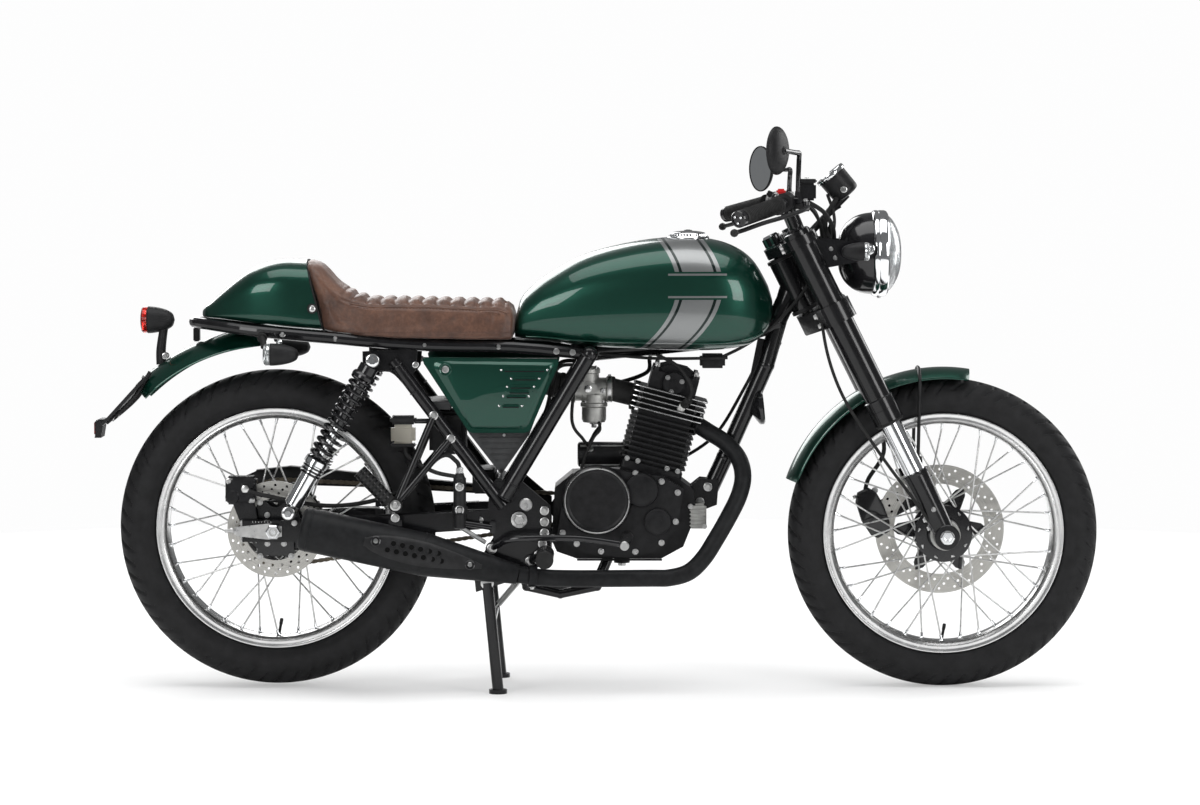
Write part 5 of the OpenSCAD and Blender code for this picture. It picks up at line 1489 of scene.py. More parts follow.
def airbox_grille():
    """Ribs on the lower part of the airbox."""
    b = Shape()
    # grille ribs on the airbox's lower triangle
    for side in (-1, 1):
        for k in range(5):
            z = 505 - 11 * k
            left = 392 + (512 - z) * 0.775 + 6
            right = 504 - (512 - z) * 0.70 - 6
            b.prism([(left, z - 1.5), (right, z - 1.5), (right - 1, z + 1.5), (left + 1, z + 1.5)],
                    side * 85.5, side * 88.6, "grey", 0.9)
        b.side_bolt(side, 451, 86, 441, 3, 2, mat="satin", washer=False, hexagon=False)
        b.side_bolt(side, 456, 86, 511, 3, 2, washer=False, hexagon=False)
    b.make("airbox_grille", "chassis")


def exhaust_pipe():
    s = Shape()
    route = [(838, -14, 528), (864, -22, 512), (896, -36, 492), (922, -56, 462), (930, -74, 428),
             (922, -90, 392), (902, -104, 352),
             (876, -116, 308), (851, -124, 270), (822, -130, 243), (784, -133, 232), (740, -134, 231),
             (560, -136, 231), (484, -146, 240)]
    s.tube([at(*p) for p in route], 17, "exhaust", 36, 10)
    head, toward = at(836, -13, 529), unit((26, -8, -16))
    s.lathe(head, toward, [(24, -4), (26, -3), (26, 4), (24, 5), (19, 5), (19, 9), (17, 11)], "exhaust", 36)
    for k in (-1, 1):
        u, w = across_axes(toward)
        spot = np.asarray(head) + (u * 0.6 + w * 0.8) * k * 24 * MM
        s.lathe(spot, toward, [(7.5, -3), (7.5, 4)], "exhaust", 16)
        s.bolt(spot + toward * 4 * MM, toward, 4.4, "steel", 5)
    clamp = at(520, -141.4, 235.6)
    d = unit(np.array([484, -146, 240.0]) - np.array([560, -136, 231.0]))
    s.lathe(clamp, d, [(17.4, 0), (20.4, 0.5), (20.6, 15), (17.4, 15.6)], "exhaust", 36)
    s.bolt(np.asarray(clamp) + d * 8 * MM + np.array([0, -0.004, -0.021]), (0, 0, -1), 4.4, "steel", 4)
    s.make("exhaust_pipe_bent", "chassis", ["exhaust_pipe"])


def muffler():
    """Muffler with a pierced heat shield held by two bolts; each hole is a ring round a near-black disc of painted
    shade.
    """
    m = Shape()
    tail, end = np.array([57, -162, 333.0]), np.array([484, -146, 240.0])
    axis = unit(end - tail)
    length = np.linalg.norm(end - tail)
    origin = at(*tail)
    profile = [(13, 60), (13, 4), (14, 1.5), (18, 0), (31, 0), (36, 1.4), (40, 4), (42.4, 8), (43, 12),
               (43, 248), (42.6, 254),
               (40.8, 268), (36.8, 300), (32.4, 336), (27.6, 374), (22.6, 412), (20.2, length - 4),
               (19.6, length)]
    m.lathe(origin, axis, profile, "exhaust", 96)
    m.lathe(origin, axis, [(13, 58), (0.3, 58)], "satin", 32)
    for h in (16, 244):
        m.lathe(origin, axis, [(43, h), (43.8, h + 0.8), (43.8, h + 3.4), (43, h + 4.2)], "exhaust", 96)
    # heat shield: thin outer skin on the muffler's outward side, with two rows of holes and two bolts; each hole
    # is painted shade, a near-black disc inside a ring
    out = unit(np.array([0, -1.0, 0.12]))
    out = unit(out - axis * np.dot(out, axis))
    up = unit(np.cross(axis, out))
    if up[2] < 0:
        up = -up
    def skin(h, a, r):
        return np.asarray(origin) + (axis * h + (out * math.cos(a) + up * math.sin(a)) * r) * MM
    def radius(h):
        return float(np.interp(h, [0, 8, 12, 250, 268, 300, 336, 374, 412, length],
                               [36, 42.4, 43, 43, 40.8, 36.8, 32.4, 27.6, 22.6, 19.6]))
    n, rows = 60, 22
    def inside_shield(h):
        t = (h - 128) / 236
        wide = 0.62 * math.sin(math.pi * min(max(t, 0.02), 0.98)) ** 0.45
        return wide * (1.06 - 0.30 * t)
    lift = 4.6
    ring = []
    for i in range(n + 1):
        h = 128 + 236 * i / n
        wide = inside_shield(h)
        row = [skin(h, wide * q, radius(h) + lift + (1 - abs(q) ** 8) * 1.2 - 1.2)
               for q in np.linspace(-1, 1, rows)]
        back = [skin(h, wide * q, radius(h) + lift - 3.4) for q in np.linspace(1, -1, rows)]
        ring.append(row + back)
    m.rings(ring, "satin")
    holes = [(176 + 18 * k, -0.13) for k in range(7)] + [(185 + 18 * k, 0.17) for k in range(6)]
    for h, a in holes:
        c = skin(h, a, radius(h) + 4.4)
        normal = unit(skin(h, a, 60) - skin(h, a, 40))
        m.lathe(c, normal, [(5.4, -0.6), (6.6, 0.3), (6.2, 0.9), (5.2, 0.9), (5.0, 0.2)], "satin", 24,
                ends=False)
        # near-black disc in each ring: painted shade standing in for the hole
        m.lathe(c, normal, [(5.3, 0.25), (0.2, 0.3)], "hole", 24)
    for h, a in ((150, 0.12), (340, -0.02)):
        c, normal = skin(h, a, radius(h) + 4.4), unit(skin(h, a, 60) - skin(h, a, 40))
        m.lathe(c, normal, [(10.4, 0), (10.4, 0.8), (9.4, 1.4), (7, 0.6)], "black", 32)
        m.bolt(c, normal, 4.6, "steel", 3.4, False, False)
    m.block((230, -150, 318), (256, -136, 350), "black", 3)
    m.side_bolt(-1, 243, 152, 352, 6, 5)
    m.make("muffler_with_shield", "chassis", ["muffler"], angle=30)


# ---------------------------------------------------------------- suspension, fork, frame details

def shocks():
    s = Shape()
    for side in (-1, 1):
        top, low = np.array([199, side * 132, 662.0]), np.array([32, side * 132, REAR_Z + 40.0])
        d = unit(low - top)
        length = np.linalg.norm(low - top)
        o = at(*top)
        for p in (top, low):
            s.lathe(at(p[0], p[1] - 13, p[2]), (0, 1, 0), [(11, 0), (15, 0.8), (15, 25), (11, 26)], "black",
                    36)
            s.lathe(at(p[0], p[1] + side * 13.4, p[2]), (0, side, 0), [(13, 0), (13, 2), (11, 3)], "steel",
                    32)
            s.bolt(at(p[0], p[1] + side * 16, p[2]), (0, side, 0), 8, "chrome", 7)
        s.lathe(o, d, [(10, 12), (19, 14), (19, 30), (22, 32), (24, 35), (24, 41), (14, 43)], "black", 40)
        s.lathe(o, d, [(14, 40), (14, 150), (9, 152)], "black", 32)
        s.lathe(o, d, [(7.5, 150), (7.5, length - 116)], "chrome", 24)
        s.lathe(o, d,
                [(7, length - 128), (15, length - 124), (24, length - 118), (24, length - 108),
                 (21, length - 106), (21, length - 96),
                       (18, length - 94), (18, length - 18), (14, length - 14)], "chrome", 48)
        for k in range(3):
            h = length - 104 + 7 * k
            s.lathe(o, d, [(20.8, h), (22.2, h + 0.8), (22.2, h + 3.6), (20.8, h + 4.4)], "black", 40)
        # coil spring
        u, w = across_axes(d)
        coils, start, end = 13.5, 40, length - 116
        path = []
        for k in range(int(coils * 22) + 1):
            t = k / (coils * 22)
            a = 2 * math.pi * coils * t
            h = start + (end - start) * (0.5 - 0.5 * math.cos(math.pi * t)) * 0.12 + (end - start) * t * 0.88
            path.append(np.asarray(o) + (d * h + (u * math.cos(a) + w * math.sin(a)) * 20.4) * MM)
        s.tube(path, 3.5, "black", 10, 1)
        s.bolt(at(*(low + np.array([12, side * 10, -20]))), (0, side, 0), 4, "steel", 3)
    s.make("shock_springs", "chassis", ["shock_absorbers"])


def fork_fittings():
    s = Shape()
    for side in (-1, 1):
        y = side * 95
        out = unit(np.array([0, side, 0]))
        up = tuple(STEER_AXIS)
        s.lathe(steer_at(46, y, 250), up, [(21.4, 0), (26, 1), (29, 3), (29, 10), (27.2, 12)], "rubber", 48)
        s.lathe(steer_at(46, y, 283), up, [(27.4, 0), (30.2, 0.6), (30.4, 22), (27.4, 24)], "fork", 48)
        s.lathe(steer_at(46, y, 134), up, [(21.5, 0), (25.8, 1), (26.8, 4), (26.8, 9), (21.5, 10)], "fork",
                48)
        s.lathe(steer_at(46, y, 672), up, [(26, 0), (26, 2.4), (22, 4), (18, 4), (17.4, 9), (9, 9), (8, 6)],
                "fork", 40)
        # pinch bolts of both yokes, seen from behind and outside
        for z in (486, 506, 650, 659):
            s.bolt(steer_at(46 - 37, y, z), tuple(-STEER_AHEAD), 5, "steel", 5)
        # axle clamp and its bolts
        s.lathe(steer_at(46, side * 117, 0), out, [(25, 0), (25, 0.8), (23, 2.4), (15, 2.4)], "fork", 48)
        s.lathe(steer_at(46, side * 124.6, 0), out, [(14.4, 0), (14.4, 2), (12, 3.4), (7, 3.4), (6, 1)],
                "chrome", 6 if side < 0 else 32)
        for z in (30, 48):
            s.bolt(steer_at(46 - 22, y, z), tuple(-STEER_AHEAD), 4.6, "steel", 4.6)
        s.bolt(steer_at(46, y + side * 22, 62), out, 3.4, "steel", 3)
    # steering stem nut and upper yoke bolts
    s.lathe(steer_at(0, 0, 664), tuple(STEER_AXIS),
            [(22, 0), (22, 3), (19, 4), (19, 20), (16, 24), (10, 24)], "chrome", 6)
    for y in (-42, 42):
        s.lathe(at(1014, y - 15, 976), (0, 1, 0), [(16, 0), (17.6, 1), (17.6, 29), (16, 30)], "satin", 32)
        for dx in (-13, 13):
            s.bolt(at(1014 + dx, y - 9, 987), (0, 0, 1), 3.4, "steel", 4)
            s.bolt(at(1014 + dx, y + 9, 987), (0, 0, 1), 3.4, "steel", 4)
    # ignition lock
    s.lathe(steer_at(40, 0, 664), tuple(STEER_AXIS), [(17, 0), (17, 10), (15, 12), (9, 12), (8, 10)],
            "plastic", 32)
    s.make("fork_fittings", "steering")


def front_caliper():
    """Brake caliper astride the front disc."""
    c = Shape()
    half = [(-74, 40), (-84, 52), (-88, 84), (-82, 122), (-70, 138), (-46, 138), (-36, 124), (-34, 96),
            (-38, 60), (-46, 42)]
    bridge = [(-84, 54), (-87, 84), (-81, 121), (-69, 136), (-48, 136), (-56, 112), (-68, 90), (-76, 64)]
    hanger = [(-40, 60), (36, 62), (36, 102), (-40, 104)]
    # two halves astride the disc, the bridge outside its rim, and the plate to the fork
    for outline, y0, y1 in ((half, 67.5, 83), (half, 45, 52.5), (bridge, 50, 70), (hanger, 72, 80)):
        mid_x, mid_z = np.mean(outline, axis=0)
        rings = [[steer_at(mid_x + (px - mid_x) * k, y, mid_z + (pz - mid_z) * k) for px, pz in outline]
                 for y, k in ((y0, 0.95), (y0 + 1.5, 1), (y1 - 1.5, 1), (y1, 0.95))]
        c.rings(rings, "black")
    c.lathe(steer_at(-58, 80, 68), (0, 1, 0), [(22, 0), (22, 5), (18, 8), (6, 8), (5, 6)], "black", 36)
    c.lathe(steer_at(-58, 80, 112), (0, 1, 0), [(17, 0), (17, 5), (14, 8), (5, 8)], "black", 36)
    for z in (56, 126):
        c.bolt(steer_at(-36, 80, z), (0, 1, 0), 4.6, "steel", 4)
    c.bolt(steer_at(-78, 74, 130), tuple(STEER_AXIS), 4.6, "steel", 5)
    for z in (66, 98):
        c.bolt(steer_at(26, 88, z), (0, 1, 0), 5, "steel", 4)
    c.make("front_caliper_detailed", "steering", ["front_caliper"])


def frame_fittings():
    s = Shape()
    for side in (-1, 1):
        # pivot plate: big nut, footpeg bracket bolts, ring of small ones
        s.spin(side, 486, 113, 345, [(15, 0), (15, 1.6), (13.6, 2.4)], "steel", 36)
        s.side_bolt(side, 486, 115.4, 345, 11, 7)
        s.spin(side, 499, 105, 374, [(13, 0), (13, 2.4), (11, 4), (4, 4), (3, 3)], "steel", 36)
        for x, z in ((536, 362), (536, 340), (536, 318), (532, 296), (524, 274), (441, 384), (470, 412)):
            s.side_bolt(side, x, 105.4, z, 6.2 if x > 520 else 4.6, 5)
        s.spin(side, 423, 122, 220, [(13, 0), (13, 2), (10, 3)], "steel", 28)
        # collars on the frame's tubes
        for a, b, r, t in (((631, 680), (455, 388), 16, 0.9), ((238, 660), (455, 371), 13, 0.2),
                           ((238, 660), (455, 371), 13, 0.86)):
            p, q = np.array([a[0], side * 105, a[1]], float), np.array([b[0], side * 105, b[1]], float)
            c, d = p + (q - p) * t, unit(q - p)
            s.lathe(at(*c), d, [(r + 0.1, 0), (r + 1.3, 1), (r + 1.3, 3), (r + 0.1, 4)], "frame", 28)
        # seat rail fasteners
        for x, z in ((592, 676), (560, 678), (446, 688), (300, 690), (124, 704), (20, 712)):
            s.bolt(at(x, side * 112, z), (0, side, 0.3), 4.2, "steel", 3.4)
        # gusset edge beads at the shock mounts
        s.tube([at(180, side * 105, 678), at(186, side * 105, 640), at(232, side * 105, 640),
                at(262, side * 105, 612)], 3.2, "frame", 10, 4)
        s.side_bolt(side, 282, 116, 652, 4.4, 3.4)
    # head tube cups
    s.lathe(steer_at(0, 0, 520), tuple(STEER_AXIS), [(27.4, 0), (29.6, 0.8), (29.6, 7), (27.4, 8)], "satin",
            48)
    s.lathe(steer_at(0, 0, 632), tuple(STEER_AXIS), [(27.4, 0), (29.6, 0.8), (29.6, 7), (27.4, 8)], "satin",
            48)
    s.make("frame_fittings", "chassis")


def welds_and_looms():
    """Weld beads, battery box, looms, horn and ignition coil."""
    w = Shape()
    # welds where tubes meet
    for side in (-1, 1):
        for centre, normal, r in (((455, side * 105, 388), (-176, 0, -292), 16.6),
                                  ((620, side * 105, 668), (176, 0, 292), 16.6),
                                  ((246, side * 105, 649), (-217, 0, 289), 13.6)):
            d = unit(normal)
            u, v = across_axes(d)
            ring = [np.asarray(at(*centre)) + (u * math.cos(a) + v * math.sin(a)) * r * MM
                    for a in np.linspace(0, 2 * math.pi, 25)]
            w.tube(ring, 2.2, "frame", 8, 1)
    # battery box and wiring behind the airbox, seen between the frame's tubes
    w.block((392, -66, 392), (438, 66, 440), "plastic", 5)
    w.block((306, -60, 470), (378, 60, 556), "plastic", 8)
    for y, r in ((-78, 3.6), (-84, 3.0), (76, 4.2)):
        w.tube([at(600, y, 650), at(560, y, 640), at(540, y * 0.96, 560), at(520, y * 0.94, 500),
                at(500, y * 0.9, 440)], r, "rubber", 10)
    # loom along the backbone to the headlight
    w.tube([at(640, 24, 668), at(760, 26, 676), at(880, 28, 690), at(955, 34, 712)], 7, "rubber", 12)
    # horn in front of the down tube
    w.lathe(at(950, 0, 560), (1, 0, 0.1),
            [(14, 0), (20, 3), (34, 12), (36, 15), (36, 21), (33, 24), (24, 22), (9, 24), (0.3, 25)],
            "black", 56)
    w.lathe(at(936, 0, 559), (1, 0, 0.1), [(9, -4), (12, 2), (14, 14)], "steel", 24)
    # ignition coil under the tank
    w.block((846, -26, 640), (896, 26, 668), "plastic", 5)
    w.make("frame_welds_and_looms", "chassis")


def plate_bracket():
    s = Shape()
    # number plate bracket's reflector, plate back and bolts
    s.block((-363.6, -26, 503), (-352, 26, 536), "plastic", 2.4)
    s.block((-365.5, -23, 506), (-361, 23, 533), "red", 1.8)
    s.tube([at(-250, -40, 634), at(-286, -44, 578), at(-338, -40, 532)], 4.2, "plastic", 10, 4)
    s.tube([at(-250, 40, 634), at(-286, 44, 578), at(-338, 40, 532)], 4.2, "plastic", 10, 4)
    for y in (-40, 40):
        s.bolt(at(-262, y, 622), (-0.8, 0, 0.5), 4.4, "steel", 3.6)
        s.bolt(at(-322, y, 541), (-0.8, 0, 0.5), 4.4, "steel", 3.6)
    s.make("plate_bracket_details", "chassis")


def rear_brake():
    """Caliper, hanger, clear reservoir, master cylinder and hose."""
    r = Shape()
    hanger = [(-60, REAR_Z - 8), (-30, REAR_Z - 8), (-40, REAR_Z + 56), (-84, REAR_Z + 56)]
    r.prism(hanger, -84.7, -76.7, "black", 1.5)
    r.block((-98, -84, 372), (-36, -44, 428), "black", 6)
    r.rod(at(279, -104, 540), at(316, -103, 540), 5, "black")
    r.rod(at(369, -122, 340), at(432, -117, 330), 6, "black")
    r.block((428, -121, 318), (440, -105, 342), "black", 2)
    # rear reservoir: clear bottle with black cap and mark rings, hose to the master cylinder
    r.block((233, -118.5, 494), (281, -88, 534), "fluid", 7)
    r.block((231, -120.5, 534), (283, -86, 551), "plastic", 5)
    r.block((231.6, -120, 490), (282.4, -86.6, 496), "plastic", 2.4)
    r.tube([at(262, -104, 494), at(268, -112, 470), at(316, -124, 442), at(360, -124, 432)], 4.2, "rubber",
           12)
    master = at(369, -122, 330)
    r.lathe(master, (0, 0, 1),
            [(9, -2), (12.4, 0), (12.4, 26), (14.4, 28), (14.4, 42), (12.6, 44), (12.6, 98), (10, 101),
             (8, 108), (5, 110)], "satin", 36)
    r.side_bolt(-1, 369, 134, 366, 6, 5)
    r.side_bolt(-1, 369, 134, 412, 6, 5)
    r.lathe(at(369, -122, 438), (0, 0, 1), [(8, 0), (8, 10), (6, 12)], "fin_edge", 6)
    r.rod(at(369, -122, 332), at(420, -120, 300), 4.5, "steel", 14)
    r.tube([at(369, -122, 444), at(362, -122, 462), at(330, -116, 470), at(250, -110, 400),
            at(120, -108, 372), at(-20, -96, 392), at(-58, -82, 404)], 4.4, "rubber", 12)
    # caliper details
    r.block((-96, -82, 376), (-38, -76, 427), "black", 4)
    for x, z in ((-52, 415), (-84, 387)):
        r.spin(-1, x, 82, z, [(14, 0), (14, 2), (12, 3.4), (4, 3.4), (3.6, 2.4)], "black", 32)
    for x, z in ((-90, 419), (-46, 381)):
        r.side_bolt(-1, x, 82, z, 4.6, 4)
    r.spin(-1, -58, 84, 404, [(8, 0), (8, 7), (5, 8)], "steel", 6)
    r.make("rear_brake_detailed", "chassis", ["rear_brake"])


def axle_adjusters():
    """Chain adjusters, axle nuts and the marks beside them."""
    a = Shape()
    for side in (-1, 1):
        # chain adjusters and axle nuts
        a.spin(side, 0, 117.6, REAR_Z, [(15.6, 0), (15.6, 7), (13, 9.4), (7, 9.4), (6.2, 7)], "chrome", 6)
        a.rod(at(-98, side * 96, REAR_Z), at(-60, side * 96, REAR_Z), 3.6, "steel", 14)
        a.lathe(at(-74, side * 96, REAR_Z), (-1, 0, 0), [(8, 0), (8, 5), (6, 6.4)], "steel", 6)
        a.block((-66, min(side * 84, side * 108.4), REAR_Z - 22),
                (-62.6, max(side * 84, side * 108.4), REAR_Z + 22), "steel", 1.2)
        for k in range(7):
            a.block((-42 + 6 * k, min(side * 109.2, side * 109.9), REAR_Z + 17.6),
                    (-41 + 6 * k, max(side * 109.2, side * 109.9), REAR_Z + 20.6), "fin_edge", 0)
        # swingarm pivot collar and seams
        a.side_bolt(side, 408, 97.6, 343, 4.6, 3.4)
        a.tube([at(40, side * 96, REAR_Z + 21.4), at(200, side * 96, REAR_Z + 30.2),
                at(400, side * 96, 361.6)], 2.2, "frame", 8, 3)
    a.make("axle_adjusters", "chassis")


def peg_rubbers():
    p = Shape()
    for side in (-1, 1):
        d = (0, side, 0)
        start = at(539, side * 184, 284)
        profile = [(12, 0), (17.4, 1), (17.4, 8), (16, 10)]
        for k in range(9):
            h = 14 + 10.6 * k
            profile += [(15.6, h - 2), (17, h), (17, h + 6), (15.6, h + 8)]
        profile += [(17.4, 110), (17.4, 115.6), (15.6, 117.4)]
        p.lathe(start, d, profile, "rubber", 40)
        p.lathe(at(539, side * 180, 284), d, [(17.4, 0), (17.4, 5), (14, 6)], "steel", 32)
        p.bolt(at(508, side * 116, 262), d, 7, "steel", 5)
        # folded passenger pegs with ribs
        pivot = np.array([243, side * 132, 376.0])
        a, b = pivot + np.array([-12, side * 8, 6]), pivot + np.array([-70, side * 12, 68])
        axis, length = unit(b - a), np.linalg.norm(b - a)
        ribs = [(10, 0), (14.3, 1), (14.3, 8), (13, 10)]
        for k in range(7):
            h = 13 + 9.4 * k
            ribs += [(12.6, h - 1.5), (14.2, h), (14.2, h + 5), (12.6, h + 6.5)]
        ribs += [(14.4, length - 5), (13, length)]
        p.lathe(at(*a), axis, ribs, "rubber", 32)
        p.bolt(at(243, side * 143.4, 376), d, 7.4, "steel", 5)
        for x, z in ((318, 552), (352, 506)):
            p.lathe(at(x, side * 110, z), d, [(9, 0), (9, 10), (8, 11)], "frame", 24)
            p.bolt(at(x, side * 121, z), d, 6, "steel", 4.6)
    p.make("footpeg_rubbers", "chassis", angle=25)


def foot_levers():
    """Brake pedal on the right and gear lever on the left."""
    s = Shape()
    pedal = [at(432, -120, 288), at(446, -140, 298), at(480, -166, 312), at(600, -172, 314),
             at(694, -176, 302)]
    s.tube(pedal, 6, "black", 14, 8, flat=1.0)
    s.spin(-1, 432, 105.4, 288, [(12, 0), (12.4, 1), (12.4, 17), (11, 18)], "black", 32)
    s.side_bolt(-1, 432, 123.6, 288, 7, 5)
    s.spin(-1, 694, 162, 302, [(7, 0), (9, 1), (9, 43), (8, 44)], "steel", 24)
    for k in range(6):
        s.lathe(at(694, -166 - 6.6 * k, 302), (0, -1, 0), [(8.8, 0), (9.6, 0.8), (9.6, 2.8), (8.8, 3.6)],
                "rubber", 24)
    s.rod(at(640, 100.4, 292), at(640, 162, 292), 8, "steel", 24)
    s.spin(1, 640, 148, 292, [(8, 0), (12.6, 1), (12.6, 15), (11, 16)], "black", 28)
    s.tube([at(640, 156, 292), at(662, 160, 293), at(684, 166, 296), at(712, 172, 304)], 6, "black", 14, 8)
    s.bolt(at(628, 156, 292), (-1, 0, 0), 4.2, "steel", 4)
    profile = [(6, 0), (9, 1)]
    for k in range(5):
        profile += [(9, 3 + 8 * k), (9, 7 + 8 * k), (7.8, 8 + 8 * k), (7.8, 10 + 8 * k)]
    s.spin(1, 712, 158, 304, profile + [(9, 42), (7.6, 44)], "rubber", 24)
    s.make("foot_levers", "chassis", ["foot_controls"])


def stand_spring():
    """Coil spring that holds the centre stand up or down."""
    t = Shape()
    path = []
    a, b = np.array([500, 70, 226.0]), np.array([431, 60, 146.0])
    d, length = unit(b - a), np.linalg.norm(b - a)
    u, w = across_axes(d)
    for k in range(26 * 12 + 1):
        ang = 2 * math.pi * k / 12
        path.append(np.asarray(at(*a))
                    + (d * (14 + (length - 28) * k / (26 * 12)) + (u * math.cos(ang) + w * math.sin(ang))
                       * 6) * MM)
    t.tube(path, 1.2, "steel", 6, 1)
    t.rod(at(*a), at(*(a + d * 16)), 1.4, "steel", 8)
    t.rod(at(*(b - d * 16)), at(*b), 1.4, "steel", 8)
    t.make("stand_spring", "centre_stand")


# ---------------------------------------------------------------- hoses and cables

def cables():
    # front brake hose, all on the steering: reservoir, lower yoke, fork leg, caliper
    h = Shape()
    hose = [(1052, -140, 974), (1090, -120, 948), (1110, -60, 900), (1092, 0, 820), (1116, 30, 740),
            (1164, 62, 640), (1196, 78, 560), (1222, 82, 470)]
    h.tube([at(*p) for p in hose] + [steer_at(-40, 84, 150), steer_at(-62, 82, 118)], 4.4, "rubber", 14, 12)
    h.lathe(steer_at(-62, 80, 116), (0, 1, 0), [(8, 0), (8, 8), (6, 9)], "steel", 6)
    for x, y, z in ((1116, 30, 740), (1196, 78, 560)):
        h.lathe(at(x, y, z), (0.35, 0.2, -0.9), [(4.6, -6), (6.6, -5), (6.6, 5), (4.6, 6)], "steel", 16)
    # speedometer cable to the front wheel, right side
    h.tube([at(1100, -6, 986), at(1112, -40, 930), at(1090, -76, 840), at(1086, -110, 720),
            at(1120, -128, 600), at(1196, -126, 480), at(1270, -118, 380), at(1316, -92, 316)], 3.2,
            "rubber", 12, 12)
    h.lathe(at(1333, -74, 310), (0, 1, 0), [(27, -6), (30, -4), (30, 8), (26, 12)], "alloy", 40)
    # wires into the headlamp
    for k, (y, r) in enumerate(((-18, 5), (14, 6), (0, 4))):
        h.tube([at(1118 + 4 * k, y, 980 - 8 * k), at(1096, y * 1.4, 940), at(1100, y, 905),
                at(1128, y * 0.7, 884)], r, "rubber", 12, 8)
    h.make("front_hose_and_wires", "steering")

    # control cables from the bars to the engine bend across the steering head
    for name, pts, r in (
            ("throttle_cable",
             [(1016, -150, 962), (1060, -110, 960), (1088, -62, 900), (1062, -40, 812), (1000, -40, 735),
              (940, -44, 690), (890, -42, 664)], 3.2),
            ("clutch_cable",
             [(1046, 146, 966), (1082, 104, 950), (1092, 58, 880), (1058, 42, 790), (990, 44, 700),
              (940, 60, 600), (880, 78, 500), (806, 96, 446)], 3.4),
            ("wiring_loom",
             [(1112, 10, 930), (1094, 16, 880), (1062, 18, 800), (1010, 30, 740), (955, 34, 712)], 6.5)):
        s = Shape()
        s.tube([at(*p) for p in pts], r, "rubber", 12, 12)
        obj = s.make(name, None)
        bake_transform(obj)


# ---------------------------------------------------------------- finishes of the CAD parts that stay

FINISH = {"frame_black": "frame", "gloss_black": "black", "fork_black": "fork", "green_paint": "green",
          "seat_leather": "leather",
          "chrome": "chrome", "bright_steel": "steel", "disc_steel": "front_disc", "engine_black": "engine",
          "carb_alloy": "alloy",
          "exhaust_black": "exhaust", "tyre": "tyre", "rubber": "rubber", "plastic": "plastic",
          "airbox_grey": "grey",
          "mirror_black": "plastic", "lamp_black": "black", "chain_steel": "chain"}


def finish_cad():
    slots = {part["node"]: part["material_slot"] for part in frame["record"]["subparts"]}
    for node, obj in frame["nodes"].items():
        obj.data.materials.clear()
        obj.data.materials.append(M[FINISH[slots[node]]])


# ---------------------------------------------------------------- stage, light and camera

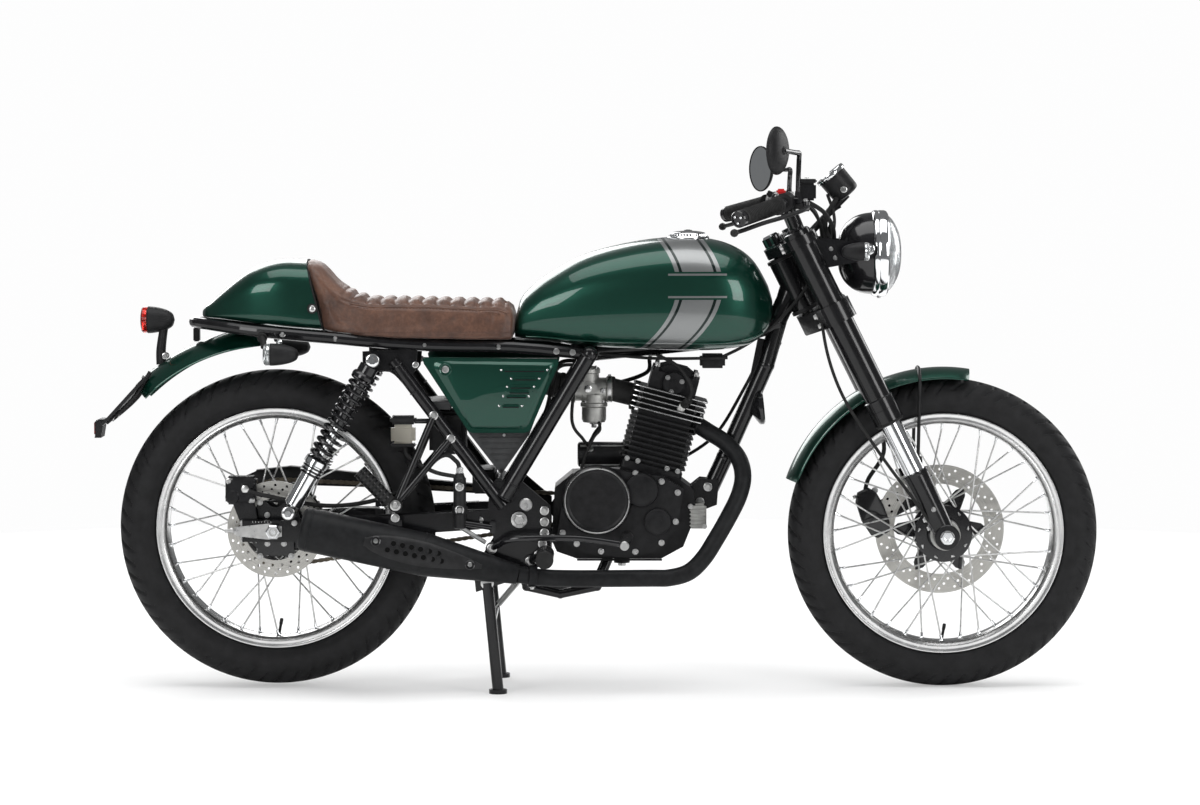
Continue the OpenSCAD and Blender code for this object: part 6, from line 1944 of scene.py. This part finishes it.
def stage():
    floor = bpy.data.materials.new("floor_pale")
    floor.use_nodes = True
    tree = floor.node_tree
    bsdf = tree.nodes["Principled BSDF"]
    bsdf.inputs["Base Color"].default_value = (0.86, 0.86, 0.86, 1)
    bsdf.inputs["Roughness"].default_value = 0.75
    bsdf.inputs["Specular IOR Level"].default_value = 0.1
    glow = tree.nodes.new("ShaderNodeEmission")
    glow.inputs["Color"].default_value = (1, 1, 1, 1)
    glow.inputs["Strength"].default_value = 1.0
    ray = tree.nodes.new("ShaderNodeLightPath")
    half = tree.nodes.new("ShaderNodeMath")
    half.operation = "MULTIPLY"
    half.inputs[1].default_value = 0.35
    mix = tree.nodes.new("ShaderNodeMixShader")
    tree.links.new(ray.outputs["Is Camera Ray"], half.inputs[0])
    tree.links.new(half.outputs[0], mix.inputs[0])
    tree.links.new(bsdf.outputs[0], mix.inputs[1])
    tree.links.new(glow.outputs[0], mix.inputs[2])
    tree.links.new(mix.outputs[0], tree.nodes["Material Output"].inputs["Surface"])
    mesh = bpy.data.meshes.new("floor")
    rim_points = [(3.5 * math.cos(a), 3.5 * math.sin(a), 0)
                  for a in np.linspace(0, 2 * math.pi, 128, endpoint=False)]
    mesh.from_pydata(rim_points, [], [tuple(range(128))])
    mesh.materials.append(floor)
    obj = bpy.data.objects.new("floor", mesh)
    bpy.context.scene.collection.objects.link(obj)

    world = bpy.data.worlds.new("studio")
    bpy.context.scene.world = world
    world.use_nodes = True
    tree = world.node_tree
    back = tree.nodes["Background"]
    back.inputs["Color"].default_value = (0.62, 0.63, 0.64, 1)
    back.inputs["Strength"].default_value = 0.28
    white = tree.nodes.new("ShaderNodeBackground")
    white.inputs["Color"].default_value = (0.985, 0.985, 0.986, 1)
    ray = tree.nodes.new("ShaderNodeLightPath")
    mix = tree.nodes.new("ShaderNodeMixShader")
    tree.links.new(ray.outputs["Is Camera Ray"], mix.inputs[0])
    tree.links.new(back.outputs[0], mix.inputs[1])
    tree.links.new(white.outputs[0], mix.inputs[2])
    tree.links.new(mix.outputs[0], tree.nodes["World Output"].inputs["Surface"])

    def area(name, place, target, width, height, power):
        light = bpy.data.lights.new(name, "AREA")
        light.shape, light.size, light.size_y, light.energy = "RECTANGLE", width, height, power
        lamp = bpy.data.objects.new(name, light)
        lamp.location = place
        lamp.rotation_euler = (Vector(target) - Vector(place)).to_track_quat("-Z", "Y").to_euler()
        bpy.context.scene.collection.objects.link(lamp)

    sun = bpy.data.lights.new("ceiling", "SUN")
    sun.energy, sun.angle = 1.75, math.radians(60)
    lamp = bpy.data.objects.new("ceiling", sun)
    lamp.visible_glossy = False
    bpy.context.scene.collection.objects.link(lamp)
    area("overhead", (0, -0.4, 3.6), (0, 0, 0.5), 3.6, 2.2, 70)
    area("key_right", (-2.4, -3.4, 1.9), (0.1, 0, 0.7), 1.4, 2.0, 60)
    area("key_front", (2.8, -3.0, 1.6), (0.2, 0, 0.6), 1.2, 2.0, 55)
    area("far_left", (-1.2, 3.6, 2.2), (0, 0, 0.6), 2.2, 2.2, 60)
    area("far_front", (3.4, 2.4, 1.8), (0, 0, 0.6), 1.6, 2.0, 45)


CAMERA_PLACE = (0.0065, -7.5, 1.055)
CAMERA_DOWN = 3.7
CAMERA_LENS = 112.5
SENSOR_WIDTH = 36


def camera():
    """Camera on the bike's right, a little above its middle and looking slightly down."""
    cam = bpy.data.cameras.new("camera")
    cam.lens, cam.sensor_width = CAMERA_LENS, SENSOR_WIDTH
    obj = bpy.data.objects.new("camera", cam)
    obj.location = CAMERA_PLACE
    obj.rotation_euler = (math.radians(90 - CAMERA_DOWN), 0, 0)
    bpy.context.scene.collection.objects.link(obj)
    bpy.context.scene.camera = obj


finish_cad()
wheels()
disc_carriers()
hub_seals()
sprocket_teeth()
chain()
fuel_tank()
filler_cap()
fuel_tap()
tail_cowl()
seat()
side_covers()
fenders()
indicators()
tail_lamp()
headlamp()
speedometer()
mirrors()
handlebar()
grips()
hand_controls()
fins()
engine()
carburettor()
airbox_grille()
exhaust_pipe()
muffler()
shocks()
fork_fittings()
front_caliper()
frame_fittings()
welds_and_looms()
plate_bracket()
rear_brake()
axle_adjusters()
peg_rubbers()
foot_levers()
stand_spring()
cables()
stage()
camera()
bpy.context.scene.view_settings.view_transform = "Standard"
